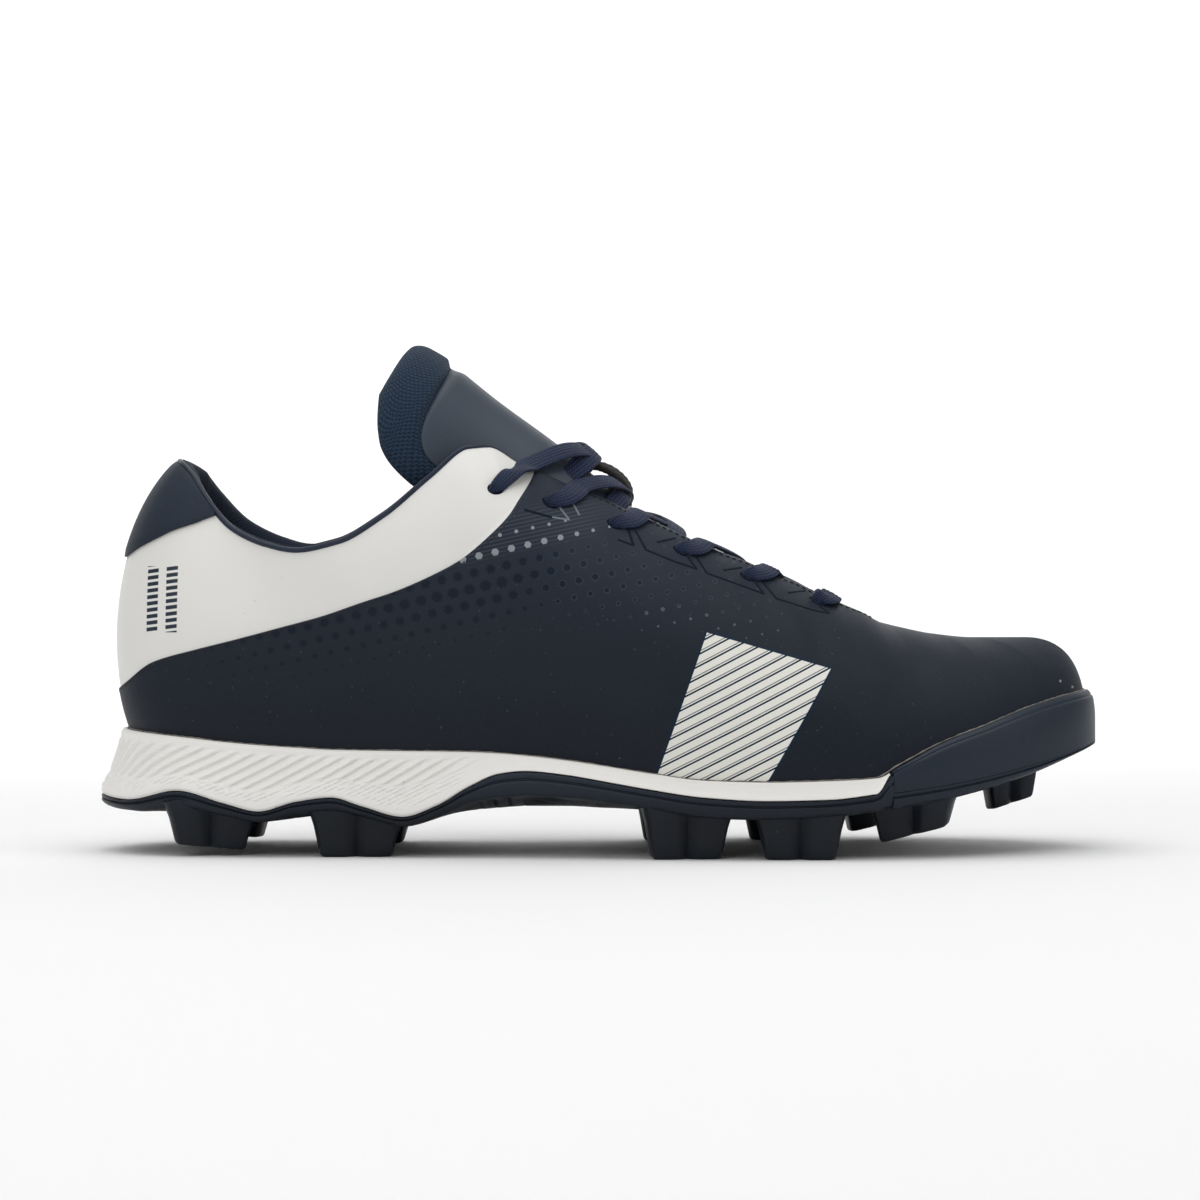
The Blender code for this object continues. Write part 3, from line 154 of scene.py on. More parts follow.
PANEL_EDGE = (
    # along, up
    (0.000, 0.120), (0.027, 0.170), (0.060, 0.250), (0.105, 0.298), (0.147, 0.337), (0.190, 0.380),
    (0.230, 0.420), (0.270, 0.470), (0.302, 0.509), (0.340, 0.570), (0.364, 0.619), (0.395, 0.712),
    (0.412, 0.778), (0.422, 0.838), (0.433, 0.915), (0.440, 1.000),
)

TONGUE = (
    # along, up, half width, drop, half arc, fullness
    (0.7933, 0.290, 0.150, 0.060, 40, 0.45), (0.7500, 0.395, 0.190, 0.090, 45, 0.50),
    (0.7000, 0.505, 0.225, 0.120, 48, 0.50), (0.6333, 0.618, 0.250, 0.150, 50, 0.50),
    (0.5667, 0.745, 0.262, 0.180, 54, 0.55), (0.5167, 0.868, 0.265, 0.230, 60, 0.65),
    (0.4733, 1.008, 0.255, 0.315, 68, 0.85), (0.4333, 1.122, 0.246, 0.390, 74, 1.00),
    (0.3900, 1.240, 0.254, 0.424, 79, 1.05), (0.3500, 1.357, 0.270, 0.397, 79, 1.05),
    (0.3110, 1.438, 0.262, 0.325, 77, 0.80),
)

STUDS = (
    # name, along, aside, tip clearance, tilt and yaw in degrees, size
    ("heel_rear_lateral", 0.118, -0.262, 0.220, 5.5, 10, 1.0),
    ("heel_rear_medial", 0.118, 0.255, 0.220, 5.5, -10, 1.0),
    ("heel_front_lateral", 0.262, -0.288, 0.0, 0, 2, 1.04),
    ("heel_front_medial", 0.262, 0.262, 0.0, 0, -2, 1.04),
    ("ball_lateral", 0.583, -0.385, 0.0, 0, 6, 1.0), ("ball_medial", 0.580, 0.340, 0.0, 0, -8, 1.0),
    ("tread_lateral", 0.693, -0.405, 0.0, 0, -2, 1.02), ("tread_medial", 0.690, 0.395, 0.0, 0, -2, 1.0),
    ("fore_lateral", 0.806, -0.325, 0.570, -15, -14, 0.96),
    ("fore_medial", 0.790, 0.385, 0.380, -13, 6, 0.90),
    ("toe", 0.919, 0.170, 1.060, -17, 14, 0.66),
)

MIDSOLE_SIDE = (
    # drop, share of spread
    (0.00, 0.00), (0.18, 0.05), (0.24, 0.09), (0.68, 0.60), (0.76, 0.76), (0.93, 1.00), (1.00, 1.00),
)

EYELET_PLACES = (
    # place, drop below the edge down the upper's face
    (0.516, 0.0170), (0.556, 0.0158), (0.589, 0.0140), (0.620, 0.0125), (0.652, 0.0111), (0.686, 0.0075),
)

# The lace at each row of eyelets, top row first, as places round the foot or metres
LACE_LEANS = (0.036, 0.022, 0.017, 0.016, 0.015, 0.010)
LACE_ARRIVALS = (0.012, 0.006, 0.004, 0.003, 0.002)
LACE_BOWS = (0.0065, 0.0040, 0.0030, 0.0025, 0.0020)
LACE_LIFTS = (0.0030, 0.0010, 0.0, 0.0, 0.0)

# Middle of the keeper's loop as seen from the side: along and up in millimetres
KEEPER_PATH = (
    (-8.0, 112.2), (-5.6, 114.6), (-2.0, 115.6), (2.2, 114.6), (6.0, 112.0), (8.3, 108.8), (8.6, 105.0),
    (7.6, 101.6),
)

# Soft troughs and ridges of the upper: ends as place round the foot and share of the climb, in metres
CREASES = (
    # side, place, climb, to place, to climb, half width, height
    (0, 0.690, 0.98, 0.665, 0.45, 0.0050, -0.00050), (0, 0.715, 0.97, 0.700, 0.50, 0.0045, 0.00035),
    (0, 0.742, 0.93, 0.735, 0.55, 0.0050, -0.00040), (LATERAL, 0.640, 0.45, 0.690, 0.20, 0.0080, 0.00035),
    (LATERAL, 0.470, 0.70, 0.500, 0.35, 0.0080, -0.00045),
    (MEDIAL, 0.480, 0.70, 0.500, 0.30, 0.0080, -0.00050),
    (LATERAL, 0.350, 0.60, 0.430, 0.45, 0.0090, -0.00040),
    (MEDIAL, 0.340, 0.65, 0.430, 0.40, 0.0090, -0.00045),
    (LATERAL, 0.230, 0.55, 0.300, 0.25, 0.0080, 0.00035), (MEDIAL, 0.230, 0.50, 0.310, 0.25, 0.0080, 0.00035),
    (LATERAL, 0.560, 0.60, 0.600, 0.30, 0.0090, 0.00030),
    (MEDIAL, 0.620, 0.55, 0.680, 0.25, 0.0080, -0.00035),
)

# Lines printed along the eyestay, as seen from the side: along and up in millimetres
EYESTAY_LINES = (
    ("teal", (10.5, 95.3), (13.5, 89.7), (21.1, 86.6), (28.4, 84.1), (25.8, 87.7)),
    ("teal", (28.4, 87.7), (31.4, 82.9), (39.0, 80.2), (48.3, 76.8), (45.6, 80.4)),
    ("teal", (48.0, 80.4), (52.0, 75.4), (59.0, 73.4), (67.9, 71.3), (65.2, 73.7)),
    ("teal", (8.2, 96.0), (9.8, 91.0), (5.2, 92.7)),
    ("teal", (16.8, 92.0), (22.4, 93.4)), ("teal", (36.4, 83.8), (42.0, 84.7)),
    ("teal", (55.6, 77.2), (61.2, 78.0)),
    ("teal", (-22.0, 101.3), (-14.0, 99.1)),
    ("pale", (-11.8, 102.1), (-8.9, 98.4), (-14.7, 99.3)), ("pale", (-8.2, 103.8), (-6.0, 99.8)),
)


def smooth_curve(xs, ys, x):
    """Natural cubic spline through (xs, ys), read at x."""
    xs, ys, x = np.asarray(xs, float), np.asarray(ys, float), np.asarray(x, float)
    step = np.diff(xs)
    slope = np.diff(ys) / step
    count = len(xs)
    system = np.eye(count)
    right = np.zeros(count)
    for i in range(1, count - 1):
        system[i, i - 1 : i + 2] = step[i - 1], 2 * (step[i - 1] + step[i]), step[i]
        right[i] = 6 * (slope[i] - slope[i - 1])
    bend = np.linalg.solve(system, right)
    i = np.clip(np.searchsorted(xs, x) - 1, 0, count - 2)
    t = x - xs[i]
    first = slope[i] - step[i] * (2 * bend[i] + bend[i + 1]) / 6
    return ys[i] + first * t + bend[i] / 2 * t**2 + (bend[i + 1] - bend[i]) / (6 * step[i]) * t**3


def steady_curve(xs, ys, x):
    """Cubic through (xs, ys) that never overshoots a row, read at x."""
    xs, ys, x = np.asarray(xs, float), np.asarray(ys, float), np.asarray(x, float)
    step = np.diff(xs)
    slope = np.diff(ys) / step
    tangent = np.zeros(len(xs))
    same = slope[:-1] * slope[1:] > 0
    mean = 2 * slope[:-1] * slope[1:] / np.where(same, slope[:-1] + slope[1:], 1)
    tangent[1:-1] = np.where(same, mean, 0)
    tangent[0], tangent[-1] = slope[0], slope[-1]
    x = np.clip(x, xs[0], xs[-1])
    i = np.clip(np.searchsorted(xs, x) - 1, 0, len(xs) - 2)
    t = (x - xs[i]) / step[i]
    return (
        ys[i] * (2 * t**3 - 3 * t**2 + 1)
        + tangent[i] * step[i] * (t**3 - 2 * t**2 + t)
        + ys[i + 1] * (3 * t**2 - 2 * t**3)
        + tangent[i + 1] * step[i] * (t**3 - t**2)
    )


def ease(low, high, x):
    """0 before low, 1 after high, and smooth between."""
    t = np.clip((np.asarray(x, float) - low) / (high - low), 0, 1)
    return t * t * (3 - 2 * t)


def unit(vectors):
    """The same vectors, each one long."""
    return vectors / np.linalg.norm(vectors, axis=-1, keepdims=True)


def between_stops(before, here, there, after, t):
    """Smooth curve from here, t 0, to there, t 1, that also heeds the stops before and after."""
    return 0.5 * (
        2 * here + (there - before) * t + (2 * before - 5 * here + 4 * there - after) * t**2
        + (3 * here - before - 3 * there + after) * t**3
    )


def run_along(points):
    """Length of a path from its first point to each."""
    return np.concatenate([[0], np.cumsum(np.linalg.norm(np.diff(points, axis=0), axis=1))])


def column(table, number):
    """One column of a table."""
    return [row[number] for row in table]


def mirrored(table, number, odd=False):
    """A column read past both ends, so that the two sides of the shoe meet smoothly there."""
    xs, ys = np.array(column(table, 0)), np.array(column(table, number))
    sign = -1 if odd else 1
    low = 2 * ys[0] if odd else 0
    high = 2 * ys[-1] if odd else 0
    xs = np.concatenate([2 * xs[0] - xs[3:0:-1], xs, 2 * xs[-1] - xs[-2:-5:-1]])
    ys = np.concatenate([low + sign * ys[3:0:-1], ys, high + sign * ys[-2:-5:-1]])
    return xs, ys


def side_column(side):
    """Column that holds a side's values in a table of both."""
    return 1 if side == LATERAL else 2


def along(share):
    """Place along the shoe in metres, from a share of its length."""
    return (share - 0.5) * SHOE_LENGTH


def foot_x(a):
    """Place along the shoe of the foot outline at a."""
    heel, toe = -SHOE_LENGTH / 2 + HEEL_LIP, SHOE_LENGTH / 2 - TOE_LIP
    return heel + (toe - heel) * (1 - np.cos(np.pi * np.asarray(a, float))) / 2


def foot_y(side, a):
    """Place aside of the foot outline at a."""
    xs, ys = mirrored(FOOT_OUTLINE, side_column(side), odd=True)
    return side * smooth_curve(xs, ys, a) * BALL_WIDTH


def sole_line(number, x):
    """Height at x of one of the lines that run round the sole."""
    share = steady_curve(column(SOLE_LINES, 0), column(SOLE_LINES, number), x / SHOE_LENGTH + 0.5)
    return STUD_LENGTH + share * SOLE_RISE


def foot_point(side, a):
    """Point where the upper leaves the sole."""
    x, y = foot_x(a), foot_y(side, a)
    return np.stack([x, y, sole_line(1, x)], -1)


def outward(side, a):
    """Level unit vector square to the foot outline, pointing away from the foot."""
    small = 1e-4
    dx = foot_x(a + small) - foot_x(a - small)
    dy = foot_y(side, a + small) - foot_y(side, a - small)
    return unit(np.stack([-side * dy, side * dx, np.zeros_like(dx)], -1))


def scallop(a):
    """Dip of the eyestay's edge between the eyelets, 0 to 1."""
    phase = (a - SECOND_EYELET) / EYELET_STEP
    wave = (1 - np.cos(2 * np.pi * phase)) / 2
    last = SECOND_EYELET + (EYELET_ROWS - 2) * EYELET_STEP
    starts, ends = ease(SECOND_EYELET - EYELET_STEP, SECOND_EYELET, a), ease(last, last + EYELET_STEP / 2, a)
    return wave * starts * (1 - ends)


def top_point(side, a):
    """Point of the topline, or of the ridge over the toe."""
    a = np.asarray(a, float)
    aside = 2 if side == LATERAL else 3
    up = 4 if side == LATERAL else 5
    xs, ys = mirrored(TOPLINE, 1)
    x = steady_curve(xs, ys, a)
    y = side * steady_curve(column(TOPLINE, 0), column(TOPLINE, aside), a)
    z = steady_curve(column(TOPLINE, 0), column(TOPLINE, up), a)
    on_ridge = a >= VAMP_START
    x = np.where(on_ridge, steady_curve(column(RIDGE, 0), column(RIDGE, 1), a), x)
    y = np.where(on_ridge, steady_curve(column(RIDGE, 0), column(RIDGE, 2), a), y)
    z = np.where(on_ridge, steady_curve(column(RIDGE, 0), column(RIDGE, 3), a), z)
    return np.stack([along(x), y * BALL_WIDTH, STUD_LENGTH + SOLE_RISE + z * UPPER_HEIGHT], -1)


def ridge_slope(a):
    """How steeply the ridge over the toe climbs at a."""
    small = 1e-3
    low = top_point(LATERAL, np.maximum(a - small, VAMP_START))
    high = top_point(LATERAL, np.minimum(a + small, 1.0))
    run = high[..., 0] - low[..., 0]
    return (high[..., 2] - low[..., 2]) / np.maximum(run, 1e-6)


def section(side, a):
    """The four control points of the section at a: leaving the sole, and arriving at the topline."""
    a = np.asarray(a, float)
    foot, top, out = foot_point(side, a), top_point(side, a), outward(side, a)
    chord = top - foot
    lean = unit(chord - np.sum(chord * out, -1, keepdims=True) * out)
    flare = np.radians(smooth_curve(*mirrored(FULLNESS, side_column(side)), a))[..., None]
    rise_deg = np.where(a < VAMP_START, steady_curve(column(TOPLINE, 0), column(TOPLINE, 6), a), 0)
    rise = np.radians(rise_deg)[..., None]
    leave = np.cos(flare) * lean + np.sin(flare) * out
    level = -out
    on_vamp = ease(0, 1, 1 - rise_deg / 30)
    tilt = np.zeros_like(level)
    slope = np.where(a >= VAMP_START, ridge_slope(a), ridge_slope(VAMP_START))
    tilt[..., 2] = level[..., 0] * slope * on_vamp
    arrive = unit(np.cos(rise) * (level + tilt) + np.sin(rise) * lean)
    top = top - arrive * (SCALLOP_DEPTH * scallop(a))[..., None]
    reach = np.linalg.norm(top - foot, axis=-1, keepdims=True)
    low = smooth_curve(*mirrored(FULLNESS, 3), a)[..., None]
    high = smooth_curve(*mirrored(FULLNESS, 4), a)[..., None]
    return foot, foot + leave * reach * low, top - arrive * reach * high, top


def upper_point(side, a, v):
    """Point of the upper's outer face: a round the foot, v from the sole, 0, to the topline, 1."""
    p0, p1, p2, p3 = section(side, a)
    v = np.asarray(v, float)[..., None]
    return (1 - v) ** 3 * p0 + 3 * v * (1 - v) ** 2 * p1 + 3 * v**2 * (1 - v) * p2 + v**3 * p3


def upper_normal(side, a, v):
    """Direction square to the upper's face, pointing out."""
    small = 1e-3
    a = np.asarray(a, float)
    v = np.asarray(v, float)
    across = upper_point(side, a + small, v) - upper_point(side, a - small, v)
    climb = upper_point(side, a, np.minimum(v + small, 1)) - upper_point(side, a, np.maximum(v - small, 0))
    n = side * np.cross(climb, across)
    seam = (a <= 1e-6) | (a >= 1 - 1e-6)
    n[..., 1] = np.where(seam, 0, n[..., 1])
    crest = (a >= VAMP_START - 1e-6) & (v >= 1 - 1e-6)
    slope = ridge_slope(a)
    ridge_up = np.stack([-slope, np.zeros_like(slope), np.ones_like(slope)], -1)
    return unit(np.where(crest[..., None], ridge_up, n))


def climb_at_top(side, a, step=0.015):
    """Direction in which the upper's face reaches the topline."""
    one = np.ones_like(a)
    return unit(upper_point(side, a, one) - upper_point(side, a, one * (1 - step)))


def first_crossing(side, a, reached):
    """Smallest v at which each section has reached a line; reached(points) is positive past it."""
    v = np.linspace(0, 1, 201)
    places = np.repeat(a, len(v))
    past = reached(upper_point(side, places, np.tile(v, len(a)))).reshape(len(a), len(v), order="C")
    found = np.ones(len(a))
    for row, depth in enumerate(past):
        hits = np.nonzero(depth > 0)[0]
        if len(hits) and hits[0] > 0:
            j = hits[0]
            found[row] = v[j - 1] + (v[j] - v[j - 1]) * (-depth[j - 1]) / (depth[j] - depth[j - 1])
        elif len(hits):
            found[row] = 0.0
    return found


def rim_v(side, a):
    """v of the sole's rim on the upper's face."""
    line = np.repeat(sole_line(2, foot_x(a)), 201)
    return first_crossing(side, a, lambda p: p[:, 2] - line)


def panel_v(side, a):
    """v of the navy panel's upper edge; 1 where the whole section is navy."""
    def above(p):
        share = steady_curve(column(PANEL_EDGE, 0), column(PANEL_EDGE, 1), p[:, 0] / SHOE_LENGTH + 0.5)
        beyond = np.maximum(p[:, 0] / SHOE_LENGTH + 0.5 - PANEL_EDGE[-1][0], 0) * 12
        return p[:, 2] - (STUD_LENGTH + SOLE_RISE + (share + beyond) * UPPER_HEIGHT)

    return first_crossing(side, a, above)


def to_segment(points, start, end):
    """Distance of each point from the segment."""
    run = end - start
    t = np.clip((points - start) @ run / (run @ run), 0, 1)
    return np.linalg.norm(points - start - t[:, None] * run, axis=1)


def creases(side, points):
    """Height of the soft troughs and ridges at points of one side."""
    height = np.zeros(len(points))
    for which, a0, v0, a1, v1, wide, tall in CREASES:
        if which not in (0, side):
            continue
        a, v = np.linspace(a0, a1, 5), np.linspace(v0, v1, 5)
        path = upper_point(side, a, v)
        apart = np.min([to_segment(points, p, q) for p, q in zip(path, path[1:])], axis=0)
        height += tall * np.exp(-((apart / wide) ** 2))
    return height


def skin_point(side, a, v, lift):
    """Point over the upper's face with its creases, lifted square to it."""
    point, normal = upper_point(side, a, v), upper_normal(side, a, v)
    return point + normal * (creases(side, point) + lift)[:, None]


def strip(low, high, closed=False):
    """Faces between two rows of point numbers."""
    low, high = np.asarray(low), np.asarray(high)
    if closed:
        low, high = np.append(low, low[0]), np.append(high, high[0])
    return np.stack([low[:-1], low[1:], high[1:], high[:-1]], 1)


def make_piece(name, points, faces, finishes, picks=None, lay=None, sharp=35):
    """One mesh piece: merged, closed faces turned outwards, smooth but for its sharp edges."""
    mesh = bpy.data.meshes.new(name)
    mesh.from_pydata(np.asarray(points).tolist(), [], np.asarray(faces).tolist())
    if picks is not None:
        mesh.polygons.foreach_set("material_index", np.asarray(picks, np.int32))
    if lay is not None:
        cloth = mesh.attributes.new("lay", "FLOAT_VECTOR", "POINT")
        cloth.data.foreach_set("vector", np.asarray(lay, np.float32).ravel())
    bm = bmesh.new()
    bm.from_mesh(mesh)
    bmesh.ops.remove_doubles(bm, verts=bm.verts, dist=2e-6)
    bmesh.ops.dissolve_degenerate(bm, edges=bm.edges, dist=1e-6)
    bmesh.ops.recalc_face_normals(bm, faces=bm.faces)
    bm.to_mesh(mesh)
    bm.free()
    mesh.shade_smooth()
    mesh.set_sharp_from_angle(angle=math.radians(sharp))
    for finish in finishes:
        mesh.materials.append(finish)
    piece = bpy.data.objects.new(name, mesh)
    bpy.context.scene.collection.objects.link(piece)
    return piece


def loft(name, rows, finishes, closed=True, caps=False, lay=None, picks=None, sharp=35):
    """A piece through rows of points; caps closes the first and last row by strips between their halves."""
    rows = np.asarray(rows)
    count, width = rows.shape[:2]
    numbers = np.arange(count * width).reshape(count, width)
    faces = [strip(numbers[i], numbers[i + 1], closed) for i in range(count - 1)]
    picked = None if picks is None else [np.full(len(f), picks[i]) for i, f in enumerate(faces)]
    if caps:
        for end, row in ((0, numbers[0]), (-1, numbers[-1])):
            half = width // 2
            cap = np.array([
                (row[k], row[k + 1], row[width - 2 - k], row[width - 1 - k]) for k in range(half - 1)
            ])
            faces.append(cap)
            if picks is not None:
                picked.append(np.full(len(cap), picks[end]))
    faces = np.concatenate(faces)
    picked = None if picks is None else np.concatenate(picked)
    flat_lay = None if lay is None else np.asarray(lay).reshape(-1, 3)
    return make_piece(name, rows.reshape(-1, 3), faces, finishes, picked, flat_lay, sharp)


def deselect():
    """Nothing selected, in object mode."""
    if bpy.context.object and bpy.context.object.mode != "OBJECT":
        bpy.ops.object.mode_set(mode="OBJECT")
    bpy.ops.object.select_all(action="DESELECT")


def joined(pieces, name):
    """Several pieces made one."""
    deselect()
    for piece in pieces:
        piece.select_set(True)
    bpy.context.view_layer.objects.active = pieces[0]
    bpy.ops.object.join()
    pieces[0].name = name
    return pieces[0]


def apply_modifiers(piece):
    """The piece with its modifiers made part of its mesh."""
    deselect()
    piece.select_set(True)
    bpy.context.view_layer.objects.active = piece
    for modifier in list(piece.modifiers):
        bpy.ops.object.modifier_apply(modifier=modifier.name)
    deselect()


def srgb(red, green, blue):
    """A screen colour, 0 to 255, as the shader's own linear colour."""
    screen = [c / 255 for c in (red, green, blue)]
    return tuple(c / 12.92 if c <= 0.04045 else ((c + 0.055) / 1.055) ** 2.4 for c in screen) + (1.0,)


class Value:
    """An output of a node. An expression on values, such as 1 - mask, adds its Math nodes."""

    def __init__(self, finish, output):
        self.finish, self.output = finish, output

    def math(self, operation, *inputs):
        return self.finish.node("Math", {"operation": operation}, dict(enumerate(inputs)))

    def __add__(self, other):
        return self.math("ADD", self, other)

    def __sub__(self, other):
        return self.math("SUBTRACT", self, other)

    def __rsub__(self, other):
        return self.math("SUBTRACT", other, self)

    def __mul__(self, other):
        return self.math("MULTIPLY", self, other)

    def __truediv__(self, other):
        return self.math("DIVIDE", self, other)

    def __pow__(self, other):
        return self.math("POWER", self, other)

    def __lt__(self, other):
        return self.math("LESS_THAN", self, other)

    def __gt__(self, other):
        return self.math("GREATER_THAN", self, other)

    def __abs__(self):
        return self.math("ABSOLUTE", self)

    __radd__ = __add__
    __rmul__ = __mul__

    def least(self, other):
        return self.math("MINIMUM", self, other)

    def most(self, other):
        return self.math("MAXIMUM", self, other)

    def part(self):
        """What is left of a number past its whole part."""
        return self.math("FRACT", self)

    def between(self, low, high):
        """0 below low, 1 above high and smooth between; the other way round where low is the larger."""
        inputs = {"Value": self, "From Min": low, "From Max": high}
        return self.finish.node("MapRange", {"interpolation_type": "SMOOTHSTEP"}, inputs)


class Finish:
    """A material of one of the shoe's surfaces."""

    def __init__(self, name, roughness=0.5, **constants):
        self.material = bpy.data.materials.new(name)
        self.material.use_nodes = True
        self.tree = self.material.node_tree
        self.shader = self.tree.nodes["Principled BSDF"]
        self.shader.inputs["Roughness"].default_value = roughness
        for socket, value in constants.items():
            self.shader.inputs[socket.replace("_", " ")].default_value = value
        self.place = self.node("TexCoord", {}, {}, "Object")

    def node(self, kind, settings, inputs, output=0):
        made = self.tree.nodes.new("ShaderNode" + kind)
        for setting, value in settings.items():
            if setting == "stops":
                ramp = made.color_ramp
                while len(ramp.elements) < len(value):
                    ramp.elements.new(0.5)
                for element, (place, colour) in zip(ramp.elements, value):
                    element.position, element.color = place, colour
            else:
                setattr(made, setting, value)
        for socket, value in inputs.items():
            if isinstance(value, Value):
                self.tree.links.new(value.output, made.inputs[socket])
            else:
                made.inputs[socket].default_value = value
        return Value(self, made.outputs[output])

    def axes(self, vector=None):
        """The three numbers of a vector."""
        vector = vector or self.place
        made = self.tree.nodes.new("ShaderNodeSeparateXYZ")
        self.tree.links.new(vector.output, made.inputs[0])
        return [Value(self, output) for output in made.outputs]

    def lay(self):
        """The cloth's own directions, in metres."""
        return self.node("Attribute", {"attribute_name": "lay"}, {}, "Vector")

    def noise(self, scale, detail=2.0, roughness=0.5, vector=None):
        inputs = {"Vector": vector or self.place, "Scale": scale, "Detail": detail, "Roughness": roughness}
        return self.node("TexNoise", {}, inputs)

    def cells(self, scale, feature="F1", vector=None):
        return self.node("TexVoronoi", {"feature": feature}, {"Vector": vector or self.place, "Scale": scale})

    def curve(self, value, low, high, stops):
        """A number read from a short table of (place, number) against value, which runs from low to high."""
        spread = [((place - low) / (high - low), (number, number, number, 1)) for place, number in stops]
        return self.node("ValToRGB", {"stops": spread}, {"Fac": (value - low) / (high - low)})

    def mix(self, factor, first, second):
        return self.node("Mix", {"data_type": "RGBA"}, {0: factor, 6: first, 7: second}, 2)

    def shade(self, factor, colour):
        """A colour made lighter or darker by a number round 1."""
        grey = self.node("CombineColor", {}, {0: factor, 1: factor, 2: factor})
        settings = {"data_type": "RGBA", "blend_type": "MULTIPLY"}
        return self.node("Mix", settings, {0: 1.0, 6: colour, 7: grey}, 2)

    def finish(self, colour, roughness=None, height=None, depth=0.0005, strength=1.0):
        """Links the varying colour, roughness and relief, height being 0 to 1 and depth in metres."""
        self.tree.links.new(colour.output, self.shader.inputs["Base Color"])
        if roughness is not None:
            self.tree.links.new(roughness.output, self.shader.inputs["Roughness"])
        if height is not None:
            bump = self.node("Bump", {}, {"Height": height, "Distance": depth, "Strength": strength})
            self.tree.links.new(bump.output, self.shader.inputs["Normal"])
        return self.material


# A dot of the printed pattern, as seen from the side, and how its rows slant and lie apart
DOT_X, DOT_Z = -0.0473, 0.0759
DOT_SLANT = math.radians(12.8)
DOT_PITCH, DOT_ROW = 0.00485, 0.00450

# Two pale dots at the tip of the toe, as seen from the side
TOE_DOTS = ((0.1375, 0.0508), (0.1416, 0.048955))


def halftone(finish, x, z):
    """Hexagon dots in slanted rows that shrink away from a middle line: their mask, rim and lightness."""
    u = (x - DOT_X) * math.cos(DOT_SLANT) + (z - DOT_Z) * math.sin(DOT_SLANT)
    w = (z - DOT_Z) * math.cos(DOT_SLANT) - (x - DOT_X) * math.sin(DOT_SLANT)
    middle = finish.curve(x, -0.130, 0.070, (
        (-0.130, 0.576), (-0.093, 0.655), (-0.047, 0.759), (-0.013, 0.836), (0.007, 0.818), (0.029, 0.805),
        (0.041, 0.773), (0.058, 0.735),
    )) / 10
    full = finish.curve(x, -0.130, 0.070, (
        (-0.126, 0.0), (-0.107, 0.8), (-0.093, 1.25), (-0.047, 1.66), (-0.029, 1.68), (-0.013, 1.42),
        (0.007, 1.05), (0.029, 0.78), (0.049, 0.50), (0.062, 0.0),
    )) / 1000
    size = full * (1 - (abs(z - middle) / 0.0185) ** 1.25).most(0)
    dots = []
    for shift_u, shift_w in ((0.0, 0.0), (0.5, 0.5)):
        p = abs(((u / DOT_PITCH + shift_u).part() - 0.5) * DOT_PITCH)
        q = abs(((w / (2 * DOT_ROW) + shift_w).part() - 0.5) * (2 * DOT_ROW))
        dots.append(q.most(p * 0.866 + q * 0.5) - size)
    edge = dots[0].least(dots[1])
    seen = (size > 0.0002) * edge.between(0.00012, -0.00006)
    rim = edge.between(-0.00042, -0.00020) * seen
    light = w.between(0.0060, 0.0086) * x.between(0.012, 0.004)
    faint = (z - middle).between(-0.0068, -0.0090) * x.between(0.008, 0.016)
    return seen, rim, light.most(faint * 0.25)


def half_plane(x, z, start, end):
    """Signed distance to the right of the line from start to end, seen from the side."""
    run = math.hypot(end[0] - start[0], end[1] - start[1])
    dx, dz = (end[0] - start[0]) / run, (end[1] - start[1]) / run
    return (x - start[0]) * dz - (z - start[1]) * dx


def saddle_panel(finish, x, z):
    """White hatched panel across the instep: distance inside its straight edges, and its hatching."""
    foot_back, foot_front = (0.0150, 0.020), (0.0465, 0.020)
    top_back, top_front = (0.0310, 0.0655), (0.0670, 0.0550)
    inside = half_plane(x, z, foot_back, top_back)
    inside = inside.least(half_plane(x, z, top_back, top_front))
    inside = inside.least(half_plane(x, z, top_front, foot_front))
    slant = math.radians(27)
    run = z * math.cos(slant) - x * math.sin(slant)
    phase = (run / 0.0030).part()
    broad = abs(phase - 0.30).between(0.100, 0.065)
    thin = abs(phase - 0.54).between(0.070, 0.025)
    return inside, broad.most(thin * 0.8)


